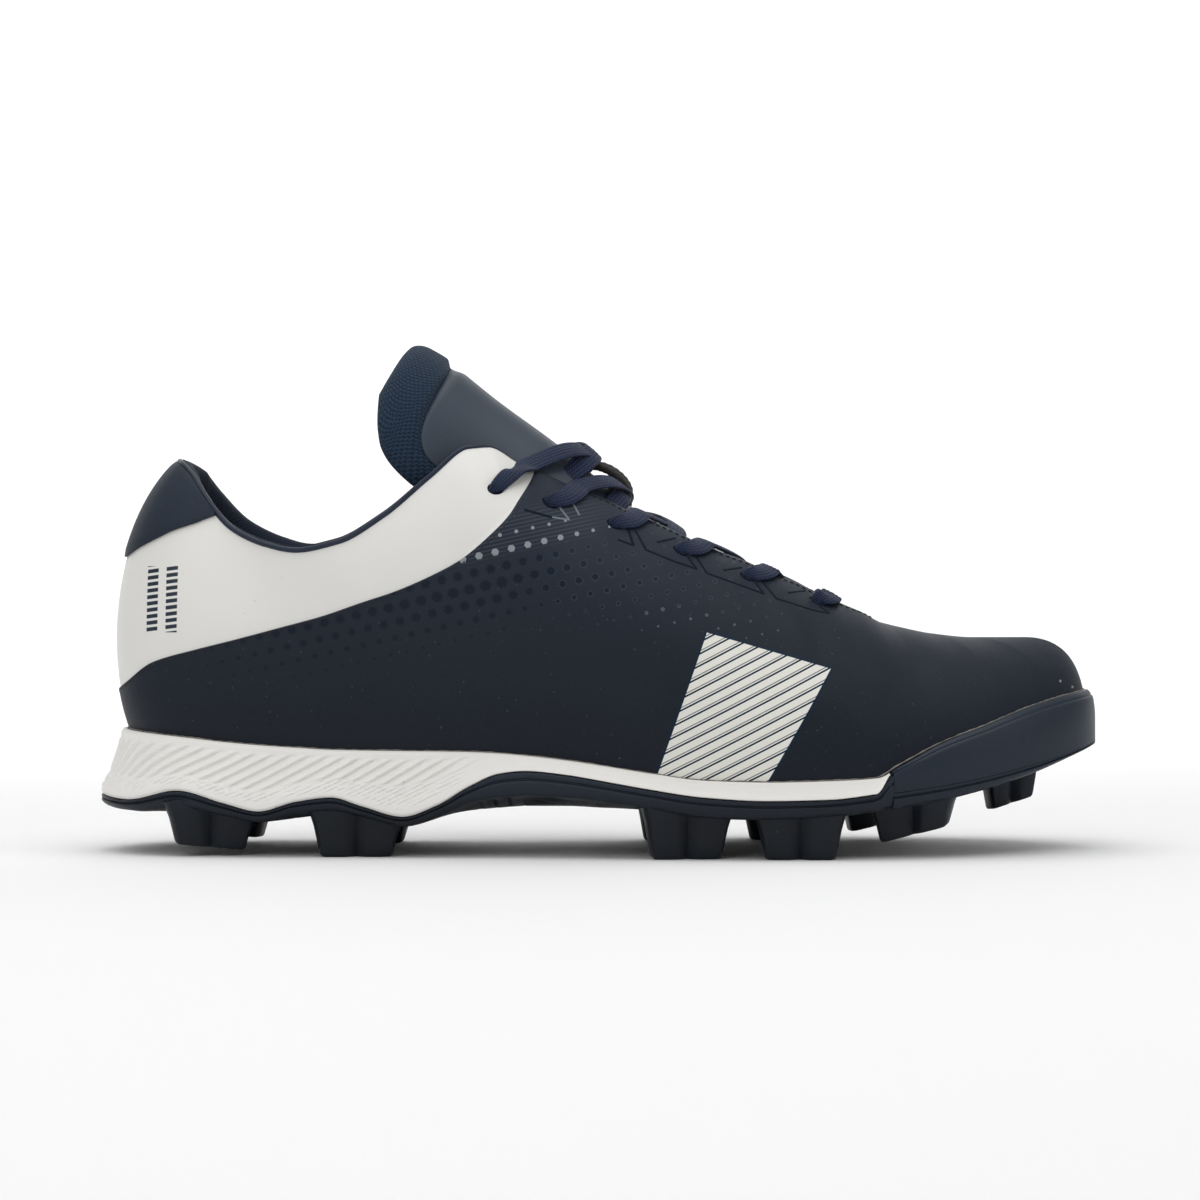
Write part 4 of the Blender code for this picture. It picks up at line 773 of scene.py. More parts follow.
def navy_leather(name, printed):
    """Navy leather with its grain and dust, and painted shade that darkens it towards the bottom; printed
    adds the dots, lines and white panel of the upper.
    """
    finish = Finish(name, 0.5, Specular_IOR_Level=0.13)
    x, _, z = finish.axes()
    grain = finish.cells(1500.0)
    fine = finish.noise(2600.0, 3.0)
    broad = finish.noise(35.0, 3.0)
    # painted shade: lit makes the leather darker towards the bottom and lighter towards the top, mixed with
    # random tone from the noise
    lit = (z.between(0.02, 0.12) * 0.75 + 0.64) + (broad - 0.5) * 0.16 + (fine - 0.5) * 0.24
    colour = finish.shade(lit, srgb(34, 41, 51))
    speck = finish.noise(900.0, 1.0).between(0.745, 0.775)
    colour = finish.mix(speck * 0.20, colour, srgb(96, 106, 118))
    relief = grain * 0.25 + fine * 0.35
    gloss = 0.50 + (broad - 0.5) * 0.14 + (grain - 0.5) * 0.08
    if printed:
        dot, rim, light = halftone(finish, x, z)
        climb = z * math.cos(DOT_SLANT) - x * math.sin(DOT_SLANT)
        stripes = abs(((climb - 0.0845) / 0.00115).part() - 0.5).between(0.20, 0.08)
        striped = climb.between(0.0900, 0.0950) * climb.between(0.1060, 0.1010) * x.between(0.006, -0.008)
        colour = finish.mix(stripes * striped * 0.09, colour, srgb(150, 160, 172))
        shown = dot * (1 - rim * 0.45)
        dark = finish.mix(shown * 0.80, colour, srgb(15, 26, 40))
        dark = finish.mix(rim * x.between(-0.03, -0.005) * 0.16, dark, srgb(88, 104, 120))
        colour = finish.mix(light, dark, finish.mix(dot * 0.70, colour, srgb(160, 166, 172)))
        inside, hatch = saddle_panel(finish, x, z)
        colour = finish.mix(inside.between(-0.00075, -0.00055), colour, srgb(12, 36, 56))
        panel = inside.between(-0.00015, 0.00005)
        cloth = finish.shade(0.97 + (fine - 0.5) * 0.10 + (broad - 0.5) * 0.05, srgb(232, 231, 224))
        colour = finish.mix(panel, colour, finish.mix(hatch, cloth, srgb(14, 40, 62)))
        back, front = [((x - ahead) ** 2 + (z - up) ** 2).between(2.2e-7, 0.8e-7) for ahead, up in TOE_DOTS]
        colour = finish.mix(back.most(front) * 0.6, colour, srgb(170, 172, 172))
        relief = relief - dot * 0.55 + inside.between(-0.0006, 0.0) * 0.9 - hatch * panel * 0.35
        gloss = gloss - panel * 0.10 - dot * 0.08
    return finish.finish(colour, gloss, relief, 0.00016, 0.55)


def white_leather():
    """White leather with faint dirt and a ladder of short bars at the heel."""
    finish = Finish("white_leather", 0.42, Specular_IOR_Level=0.5)
    x, _, z = finish.axes()
    fine, broad = finish.noise(2200.0, 3.0), finish.noise(28.0, 3.0)
    grain = finish.cells(1300.0)
    colour = finish.shade(0.985 + (broad - 0.5) * 0.05 + (fine - 0.5) * 0.02, srgb(230, 229, 225))
    dirt = finish.noise(420.0, 2.0).between(0.735, 0.775)
    colour = finish.mix(dirt * 0.30, colour, srgb(188, 176, 158))
    lean = math.radians(7)
    bar = ((z - x * math.tan(lean)) / 0.0019).part()
    bars = abs(bar - 0.5).between(0.33, 0.27)
    soft = 0.00012
    back, front = [
        x.between(low - soft, low + soft) * x.between(high + soft, high - soft)
        for low, high in ((-0.1335, -0.1300), (-0.1275, -0.1240))
    ]
    ladder = back.most(front) * (z > 0.0655) * (z < 0.0850) * bars
    colour = finish.mix(ladder, colour, srgb(22, 38, 54))
    relief = grain * 0.2 + fine * 0.25 + ladder * 0.5
    return finish.finish(colour, 0.42 + (broad - 0.5) * 0.12, relief, 0.00012, 0.4)


def midsole_foam():
    """White foam with fine pores and a little dirt."""
    finish = Finish("midsole_foam", 0.62, Specular_IOR_Level=0.4)
    fine, broad = finish.noise(1900.0, 4.0, 0.6), finish.noise(60.0, 3.0)
    colour = finish.shade(0.98 + (broad - 0.5) * 0.06 + (fine - 0.5) * 0.05, srgb(241, 239, 235))
    dirt = finish.noise(300.0, 3.0, 0.65).between(0.70, 0.78)
    colour = finish.mix(dirt * 0.35, colour, srgb(150, 140, 126))
    return finish.finish(colour, 0.60 + (broad - 0.5) * 0.12, fine * 0.6 + broad * 0.4, 0.00018, 0.5)


def tread_rubber():
    """Navy rubber with painted shade that darkens it towards the ground, and pale scuffs."""
    finish = Finish("tread_rubber", 0.42, Specular_IOR_Level=0.24)
    fine, broad = finish.noise(1700.0, 4.0, 0.6), finish.noise(45.0, 3.0)
    # painted shade: lit darkens the rubber low down, so the studs come out darker than the toe rim
    lit = finish.axes()[2].between(0.010, 0.026) * 0.64 + 0.40
    colour = finish.shade(lit + (broad - 0.5) * 0.22 + (fine - 0.5) * 0.20, srgb(32, 41, 53))
    scuff = finish.noise(420.0, 3.0, 0.7).between(0.715, 0.76)
    colour = finish.mix(scuff * 0.25, colour, srgb(88, 98, 108))
    return finish.finish(colour, 0.44 + (broad - 0.5) * 0.20 + (fine - 0.5) * 0.12, fine, 0.00014, 0.45)


def knit(name, colour, dark, pitch, rows, roughness=0.85, depth=0.0004):
    """Basket knit: short stitches in slanted lines that follow the cloth's own directions, with painted shade
    between the stitches and painted highlight on their tops.
    """
    finish = Finish(name, roughness, Specular_IOR_Level=0.25, Sheen_Weight=0.08, Sheen_Roughness=0.5)
    run, across, _ = finish.axes(finish.lay())
    wobble = (finish.noise(700.0, 2.0) - 0.5) * 0.6
    line = (across + run * 0.45) / pitch + wobble
    wale = line.part() - 0.5
    loop = (run / rows + (line - line.part()) * 0.5 + wobble * 0.5).part() - 0.5
    cord = (1 - abs(wale) * 2) * 0.5 + (1 - abs(loop) * 2) * 0.5
    fine = finish.noise(2400.0, 2.0)
    # painted shade and highlight: the colour is darker in the gaps between stitches and lighter on their
    # raised tops
    shade = 0.62 + cord * 0.62 + (fine - 0.5) * 0.35
    tinted = finish.mix(cord.between(0.15, 0.6), dark, colour)
    return finish.finish(finish.shade(shade, tinted), None, cord * 0.8 + fine * 0.2, depth, 0.9)


def braid():
    """Flat braided lace: fine crossed threads over a few ribs along the strip, with painted shade in its gaps
    and painted highlight on its raised threads.
    """
    finish = Finish("lace_braid", 0.68, Specular_IOR_Level=0.25, Sheen_Weight=0.06, Sheen_Roughness=0.45)
    run, across, _ = finish.axes(finish.lay())
    pitch, rows = 0.00112, 0.00100
    left = ((across / pitch + run / rows).part() - 0.5)
    right = ((across / pitch - run / rows).part() - 0.5)
    thread = (1 - abs(left) * 2) * 0.5 + (1 - abs(right) * 2) * 0.5
    ribs = 1 - abs((across / pitch).part() - 0.5) * 2
    fine = finish.noise(3000.0, 2.0)
    height = thread * 0.60 + ribs * 0.40
    # painted shade in the low gaps of the braid, lighter on its raised threads and ribs; then a painted
    # highlight on the thread tops
    colour = finish.mix(height.between(0.28, 0.80), srgb(9, 15, 29), srgb(42, 60, 98))
    colour = finish.shade(0.85 + (fine - 0.5) * 0.5 + thread.between(0.7, 1.0) * 0.35, colour)
    return finish.finish(colour, None, height, 0.00035, 0.9)


def plain(name, colour, roughness, grain_scale, depth, swing=0.3, sheen=0.0, shine=0.4):
    """One colour with its own grain and slow swing of shade."""
    finish = Finish(name, roughness, Specular_IOR_Level=shine, Sheen_Weight=sheen)
    fine, broad = finish.noise(grain_scale, 4.0, 0.6), finish.noise(grain_scale / 18, 2.0)
    tinted = finish.shade(1 + (fine - 0.5) * swing + (broad - 0.5) * swing * 0.6, colour)
    return finish.finish(tinted, roughness + (fine - 0.5) * 0.25, fine * 0.7 + broad * 0.3, depth, 0.6)


NAVY = navy_leather("navy_leather", True)
NAVY_PLAIN = navy_leather("navy_leather_plain", False)
WHITE = white_leather()
FOAM = midsole_foam()
RUBBER = tread_rubber()
TONGUE_FACE = plain("tongue_leather", srgb(56, 66, 78), 0.46, 1900.0, 0.00010, 0.22)
TONGUE_KNIT = knit("tongue_knit", srgb(33, 54, 76), srgb(15, 27, 42), 0.00080, 0.00140)
LINING_KNIT = knit("lining_knit", srgb(33, 44, 64), srgb(10, 14, 22), 0.00080, 0.00140, 0.85, 0.0002)
BRAID = braid()
PIPING = plain("collar_piping", srgb(28, 38, 56), 0.38, 1400.0, 0.00010, 0.7, shine=0.3)
THREAD = plain("black_thread", srgb(12, 14, 18), 0.6, 2400.0, 0.00005)
HIDE = plain("black_hide", srgb(27, 25, 22), 0.82, 900.0, 0.00035, 1.1)
BOARD = plain("sockliner_cloth", srgb(62, 68, 78), 0.9, 1500.0, 0.00012, 0.5, 0.2)
TEAL_INK = plain("teal_print", srgb(12, 25, 37), 0.6, 1800.0, 0.00005, shine=0.08)
PALE_INK = plain("pale_print", srgb(112, 120, 128), 0.6, 1800.0, 0.00005, shine=0.15)
GLUE = plain("glue_line", srgb(122, 117, 110), 0.55, 1500.0, 0.00015, 1.2)


def upper_places():
    """Places round one side of the upper, with a column on each change of pattern."""
    quarter, throat, vamp = (0, 0.50, 150), (0.50, VAMP_START, 150), (VAMP_START, 1.0, 84)
    return np.concatenate([np.linspace(*quarter), np.linspace(*throat)[1:], np.linspace(*vamp)[1:]])


def both_sides(places, read):
    """Points read(side, places) round the shoe: heel, lateral side, toe, medial side."""
    lateral, medial = read(LATERAL, places), read(MEDIAL, places)
    return np.concatenate([lateral, medial[-2:0:-1]])


def build_upper():
    """Hollow upper: navy panel, white quarter a step lower above it, rim, and the inner wall."""
    a = upper_places()
    edges = {side: panel_v(side, a) for side in (LATERAL, MEDIAL)}
    for side in edges:
        edges[side][0] = edges[LATERAL][0]
    low, high, inside = np.linspace(0, 1, 38), np.linspace(0, 1, 22), np.linspace(1, 0, 22)

    def v_row(side, kind, share):
        edge = edges[side]
        past = np.minimum(edge + 0.005, 1.0)
        return edge * share if kind == "navy" else past + (1 - past) * share

    def read_row(kind, share):
        def read(side, a):
            if kind == "inner":
                v = share + 0 * a
                return upper_point(side, a, v) - upper_normal(side, a, v) * WALL
            v = v_row(side, kind, share)
            drop = OVERLAY_STEP * (1 - 0.5 * ease(0.46, 0.52, a)) * (edges[side] < 0.999)
            return skin_point(side, a, v, 0 * a if kind == "navy" else -drop)
        return read

    def rim_row(angle):
        def read(side, a):
            one = np.ones_like(a)
            top = skin_point(side, a, one, -OVERLAY_STEP * 0.5 * (edges[side] < 0.999))
            inwards = upper_normal(side, a, one) * WALL / 2 * (1 - math.cos(angle))
            return top - inwards + climb_at_top(side, a) * 0.16 * WALL * math.sin(angle)
        return read

    rows = [("navy", s) for s in low] + [("white", s) for s in high]
    outer = [both_sides(a, read_row(*row)) for row in rows]
    rim = [both_sides(a, rim_row(angle)) for angle in np.radians((35, 90, 145))]
    inner = [both_sides(a, read_row("inner", s)) for s in inside]
    points = np.array(outer + rim + inner)
    width = points.shape[1]
    numbers = np.arange(points.shape[0] * width).reshape(points.shape[:2])
    places = np.concatenate([a, a[-2:0:-1]])
    open_top = np.maximum(places, np.roll(places, -1)) <= VAMP_START + 1e-6
    faces, picks = [], []

    def add(first, second, pick, mask=None):
        made = strip(numbers[first], numbers[second], True)
        made = made if mask is None else made[mask]
        faces.append(made)
        picks.append(np.full(len(made), pick))

    count = len(outer)
    for i in range(count - 1):
        add(i, i + 1, 0 if i < len(low) - 1 else (1 if i >= len(low) else 0))
    for i in range(count - 1, count + len(rim)):
        add(i, i + 1, 3, open_top)
    start = count + len(rim)
    for i in range(start, len(points) - 1):
        add(i, i + 1, 2)
    add(len(points) - 1, 0, 2)
    lay = np.zeros(points.shape)
    lay[..., 0] = places * 0.45
    lay[..., 1] = points[..., 2]
    upper = make_piece(
        "upper_shell", points.reshape(-1, 3), np.concatenate(faces), (NAVY, WHITE, LINING_KNIT, NAVY_PLAIN),
        np.concatenate(picks), lay.reshape(-1, 3), 50,
    )
    cut_eyelets(upper)
    return upper


def v_below_top(side, a, drop):
    """v of the point that lies drop below the topline, measured down the section."""
    v = np.linspace(1, 0.4, 241)
    points = upper_point(side, np.full(241, a), v)
    return float(np.interp(drop, run_along(points), v))


def eyelets():
    """Side, place and v of every eyelet, from the top pair to the toe."""
    made = []
    for a, drop in EYELET_PLACES:
        for side in (LATERAL, MEDIAL):
            made.append((side, a, v_below_top(side, a, drop)))
    return made


def point_at(side, a, v, lift=0.0):
    """One point over the upper's face, and the face's direction there."""
    a, v = np.array([a]), np.array([v])
    normal = Vector(upper_normal(side, a, v)[0])
    return Vector(upper_point(side, a, v)[0]) + normal * lift, normal


def cut_eyelets(upper):
    """Oval holes for the lace, cut square to the wall."""
    punches = []
    for side, a, v in eyelets():
        point, normal = point_at(side, a, v, -WALL / 2)
        ahead = point_at(side, a + 0.01, v)[0] - point_at(side, a, v)[0]
        deselect()
        bpy.ops.mesh.primitive_cylinder_add(vertices=20, radius=EYELET_RADIUS, depth=4 * WALL)
        punch = bpy.context.object
        across = (ahead - normal * ahead.dot(normal)).normalized()
        turn = Matrix((across, normal.cross(across), normal)).transposed().to_4x4()
        stretch = Matrix.Diagonal((EYELET_STRETCH, 1.0, 1.0, 1.0))
        punch.data.transform(Matrix.Translation(point) @ turn @ stretch)
        punches.append(punch)
    punch = joined(punches, "eyelet_punches")
    punch.data.materials.append(NAVY_PLAIN)
    cut = upper.modifiers.new("eyelets", "BOOLEAN")
    cut.operation, cut.object, cut.solver = "DIFFERENCE", punch, "EXACT"
    apply_modifiers(upper)
    bpy.data.objects.remove(punch)
    upper.data.set_sharp_from_angle(angle=math.radians(50))


def smooth_ring(ring, times):
    """A closed ring of points resampled along a curve through them; ring is (points, columns, 3)."""
    made = []
    count = len(ring)
    for i in range(count):
        stops = [ring[(i + k) % count] for k in (-1, 0, 1, 2)]
        made += [between_stops(*stops, t) for t in np.arange(times) / times]
    return np.array(made)


def build_lining():
    """Padded collar lining: it rolls over the topline and hangs inside the upper."""
    half = np.linspace(0, LINING_END, 150)
    columns = []
    for side, order in ((LATERAL, half[::-1]), (MEDIAL, half[1:])):
        edge = np.maximum(np.minimum(panel_v(side, order), 0.90), rim_v(side, order) + 0.08) + 0.009
        v_rows = [edge + (1 - edge) * share for share in (1.0, 0.75, 0.5, 0.25)]
        ones = np.ones_like(order)
        full = COLLAR_PAD * (1 - 0.75 * ease(0.20, LINING_END, order))
        clear = GAP * (1.7 + 1.6 * ease(0.40, LINING_END, order))
        up = climb_at_top(side, order, 0.02)
        top, n_top = upper_point(side, order, ones), upper_normal(side, order, ones)
        over_edge = (2 * GAP + BINDING_RISE) * up
        ring = [
            top - n_top * (OVERLAY_STEP + GAP) + over_edge * 0.55,
            top - n_top * 0.5 * WALL + over_edge * 0.9,
            top - n_top * (WALL + GAP + 0.45 * full[:, None]) + over_edge * 0.5,
        ]
        for number, thick in ((1, 1.0), (2, 0.8), (3, 0.05)):
            inset = WALL + clear + LINING_EDGE + full * thick
            v = v_rows[number]
            ring.append(upper_point(side, order, v) - upper_normal(side, order, v) * inset[:, None])
        for number in (3, 2, 1, 0):
            v = v_rows[number]
            ring.append(upper_point(side, order, v) - upper_normal(side, order, v) * (WALL + clear)[:, None])
        ring += [top - n_top * 0.5 * WALL + 2 * GAP * up, top - n_top * OVERLAY_STEP + 2 * GAP * up]
        columns.append(np.stack(smooth_ring(np.array(ring), 4), 1))
    rows = np.concatenate(columns)
    lay = np.zeros(rows.shape)
    lay[..., 0] = np.linspace(0, 0.30, rows.shape[0])[:, None]
    lay[..., 1] = np.linspace(0, 0.085, rows.shape[1])[None, :]
    return loft("collar_lining_pad", rows, (LINING_KNIT,), caps=True, lay=lay, sharp=70)


def tube(name, centres, normals, radii, finish, around=10, flat=1.0):
    """A cord along centres; radii may vary along it, and flat presses it along the normals."""
    centres, normals = np.asarray(centres), np.asarray(normals)
    run = unit(np.gradient(centres, axis=0))
    normals = unit(normals - np.sum(normals * run, 1, keepdims=True) * run)
    side = np.cross(run, normals)
    radii = np.broadcast_to(np.asarray(radii, float), (len(centres),))
    turn = np.linspace(0, 2 * np.pi, around, endpoint=False)
    rows = centres[:, None] + radii[:, None, None] * (
        np.cos(turn)[None, :, None] * normals[:, None] * flat + np.sin(turn)[None, :, None] * side[:, None]
    )
    return loft(name, rows, (finish,), caps=True, sharp=60)


def build_piping():
    """Corded binding that follows the collar's edge."""
    half = np.linspace(0, 0.548, 220)
    centres, normals = [], []
    for side, order in ((LATERAL, half[::-1]), (MEDIAL, half[1:])):
        one = np.ones_like(order)
        normal = upper_normal(side, order, one)
        centres.append(upper_point(side, order, one) + climb_at_top(side, order) * 0.0004 - normal * 0.0006)
        normals.append(normal)
    centres, normals = np.concatenate(centres), np.concatenate(normals)
    ends = np.minimum(np.arange(len(centres)), np.arange(len(centres))[::-1]) / 14
    radii = PIPING_RADIUS * np.minimum(1.0, 0.35 + 0.65 * ends)
    return tube("collar_piping", centres, normals, radii, PIPING, 12)


def build_heel_tab():
    """Smooth overlay that caps the back of the collar."""
    half = np.linspace(0, TAB_END, 60)
    columns = []
    for side, order in ((LATERAL, half[::-1]), (MEDIAL, half[1:])):
        low = 0.600 + 0.38 * (order / TAB_END) ** 2
        ring = []
        shares = np.linspace(0, 1, 16)
        for over, steps in ((GAP + TAB_THICKNESS, shares), (GAP, shares[::-1])):
            for share in steps:
                v = low + (0.995 - low) * share
                lift = over - OVERLAY_STEP - 0.35 * TAB_THICKNESS * (share in (0.0, 1.0)) * (over > GAP)
                ring.append(upper_point(side, order, v) + upper_normal(side, order, v) * lift)
        columns.append(np.stack(ring, 1))
    return loft("heel_tab_overlay", np.concatenate(columns), (NAVY_PLAIN,), caps=True, sharp=60)


def sole_columns():
    """Places round one side, close together where the ribs are."""
    a, run = foot_run(LATERAL)
    last = float(np.interp(RIB_END + 0.02, a, run))
    ribbed = np.interp(np.linspace(0, last, 430), run, a)
    parts = (RIB_END + 0.02, 0.67, 60), (0.67, 0.70, 22), (0.70, 1, 80)
    return np.concatenate([ribbed] + [np.linspace(*part)[1:] for part in parts])


def foot_run(side):
    """Fine places round the foot, and the length of the outline from the heel to each."""
    a = np.linspace(0, 1, 1201)
    return a, run_along(foot_point(side, a)[:, :2])


def spine_point(a):
    """Middle of the sole, drawn in from both ends."""
    middle = (foot_x(0.0) + foot_x(1.0)) / 2
    x = middle + (foot_x(a) - middle) * 0.82
    y = (foot_y(LATERAL, a) + foot_y(MEDIAL, a)) / 2
    return x, y


def spread(side, a, offset):
    """Level place of a point that stands offset outside the foot outline."""
    foot, out = foot_point(side, a), outward(side, a)
    return foot[..., :2] + out[..., :2] * np.asarray(offset)[..., None]


def inboard(side, a, offset, share, edge_z, core_height):
    """Row of a sole face: share 1 at its edge, 0 on the spine, where core_height reads the height at x."""
    edge = spread(side, a, offset)
    x, y = spine_point(a)
    xy = np.stack([x, y], -1) * (1 - share) + edge * share
    blend = ease(0, 1, share)
    return np.concatenate([xy, (core_height(x) * (1 - blend) + edge_z * blend)[:, None]], -1)


def sole_spread(side, a):
    """How far the sole stands outside the foot outline."""
    return HEEL_LIP * smooth_curve(*mirrored(SOLE_SPREAD, side_column(side)), a)


def border_z(a):
    """Joint of white and navy; it climbs to the rim in a wedge where the white ends."""
    x = foot_x(a)
    wedge = ease(0.0790, 0.0832, x) * (a < RIM_START)
    return sole_line(3, x) * (1 - wedge) + sole_line(2, x) * wedge


def core_top(x):
    """Height of the joint of midsole and outsole under the middle of the foot."""
    return sole_line(5, x) + 0.25 * SOLE_RISE


rims = {}


def rim_v_at(side, a):
    """rim_v, worked out once for each set of places."""
    key = (side, len(a), round(float(np.sum(a)), 9))
    if key not in rims:
        rims[key] = rim_v(side, a)
    return rims[key]


def upper_offset(side, a, v):
    """How far outside the foot outline the upper's face stands at v."""
    return np.sum((upper_point(side, a, v) - foot_point(side, a)) * outward(side, a), -1)


def rib_relief(side, a, drop):
    """How far the midsole's ribs stand proud: long slanted blades, then a tier of short broken steps."""
    places, run = foot_run(side)
    here = np.interp(a, places, run)
    last = float(np.interp(RIB_END, places, run))
    fade_end = 1 - ease(last - 0.014, last + 0.004, here)
    slant = 0.0120 * ease(0, 0.040, here) + 0.0028
    x = foot_x(a)
    t = (drop * (sole_line(2, x) - sole_line(3, x)) - 0.0045) / 0.0088
    phase = (here + slant * t) / RIB_PITCH
    saw = phase - np.floor(phase)
    blade = np.where(saw < 0.84, saw / 0.84, (1 - saw) / 0.16) - 0.5
    foot = 0.60 + 0.12 * np.sin(here / 0.030) - 0.05 * ease(0.02, 0.10, here)
    tall = ease(0.125, 0.175, drop) * (1 - ease(foot - 0.035, foot + 0.02, drop))
    steps = (here + slant * t * 1.2) / (RIB_PITCH * 0.5)
    saw_2 = steps - np.floor(steps)
    stair = np.floor((drop - foot) / 0.055)
    kept = np.sin(stair * 2.1 + np.floor(steps) * 1.7) > -0.2
    broken = kept * (np.where(saw_2 < 0.7, saw_2 / 0.7, (1 - saw_2) / 0.3) - 0.5)
    short = ease(foot, foot + 0.05, drop) * (1 - ease(0.84, 0.90, drop)) * 0.55
    return RIB_DEPTH * 1.7 * fade_end * (blade * tall + broken * short)


def midsole_side(side, a, drop):
    """Point of the midsole's side; drop 0 at its rim and 1 at its border with the outsole."""
    share = steady_curve(column(MIDSOLE_SIDE, 0), column(MIDSOLE_SIDE, 1), drop)
    z = sole_line(2, foot_x(a)) * (1 - drop) + border_z(a) * drop
    start = upper_offset(side, a, rim_v_at(side, a)) + GAP + RIM_WALL
    lip = -0.0005 * ease(0.955, 1.0, drop) - 0.0007 * (1 - ease(0.0, 0.05, drop))
    over = start + (sole_spread(side, a) - start) * share + rib_relief(side, a, drop) + lip
    return np.concatenate([spread(side, a, over), z[:, None]], -1)


def build_midsole():
    """White foam unit: seat under the insole, rim, ribbed side and closed bottom."""
    a = sole_columns()

    def seat_row(share, over, side, a):
        seat = sole_line(1, foot_x(a)) - GAP
        return inboard(side, a, over + 0 * a, share, seat, lambda x: sole_line(1, x) - GAP)

    def folded(a, point, side):
        return np.where((a >= MIDSOLE_END)[:, None], seat_row(1.0, 0.0, side, a), point)

    def rim_row(over, drop):
        def read(side, a):
            x = foot_x(a)
            full = upper_offset(side, a, rim_v_at(side, a)) + GAP + over
            z = sole_line(2, x) - drop
            return folded(a, np.concatenate([spread(side, a, full), z[:, None]], -1), side)
        return read

    def bottom(share):
        def read(side, a):
            over = np.where(a >= MIDSOLE_END, 0.0, sole_spread(side, a) - 2 * GAP)
            return inboard(side, a, over, share, border_z(a), core_top)
        return read

    reads = [lambda s, a: seat_row(0.0, 0.0, s, a), lambda s, a: seat_row(1.0, -WALL - GAP, s, a)]
    reads += [lambda s, a: folded(a, seat_row(1.0, GAP, s, a), s)]
    reads += [rim_row(0.0, 0.0002), rim_row(0.35 * RIM_WALL, 0.0)]
    parts = (0.004, 0.10, 7), (0.115, 0.92, 52), (0.935, 1.0, 6)
    drops = np.concatenate([np.linspace(*part) for part in parts])
    reads += [lambda s, a, d=drop: folded(a, midsole_side(s, a, d), s) for drop in drops]
    reads += [bottom(1.0), bottom(0.72), bottom(0.0)]
    rows = [both_sides(a, read) for read in reads]
    return loft("midsole_foam_unit", rows, (FOAM,), sharp=60)


def tread_relief(x, share):
    """Depth of the ribs that cross the waist under the foot, and of the grooves that frame the forefoot."""
    waist = ease(-0.038, -0.034, x) * (1 - ease(0.006, 0.012, x))
    saw = np.abs(((x / 0.0042) % 1.0) - 0.5)
    ribs = waist * (1 - ease(0.12, 0.24, saw)) * ease(0.0, 0.10, share) * (1 - ease(0.80, 0.90, share))
    frame_line = (1 - ease(0.0, 0.045, np.abs(share - 0.62))) * (1 - waist) * 0.7
    return 0.0008 * ribs + 0.0006 * frame_line


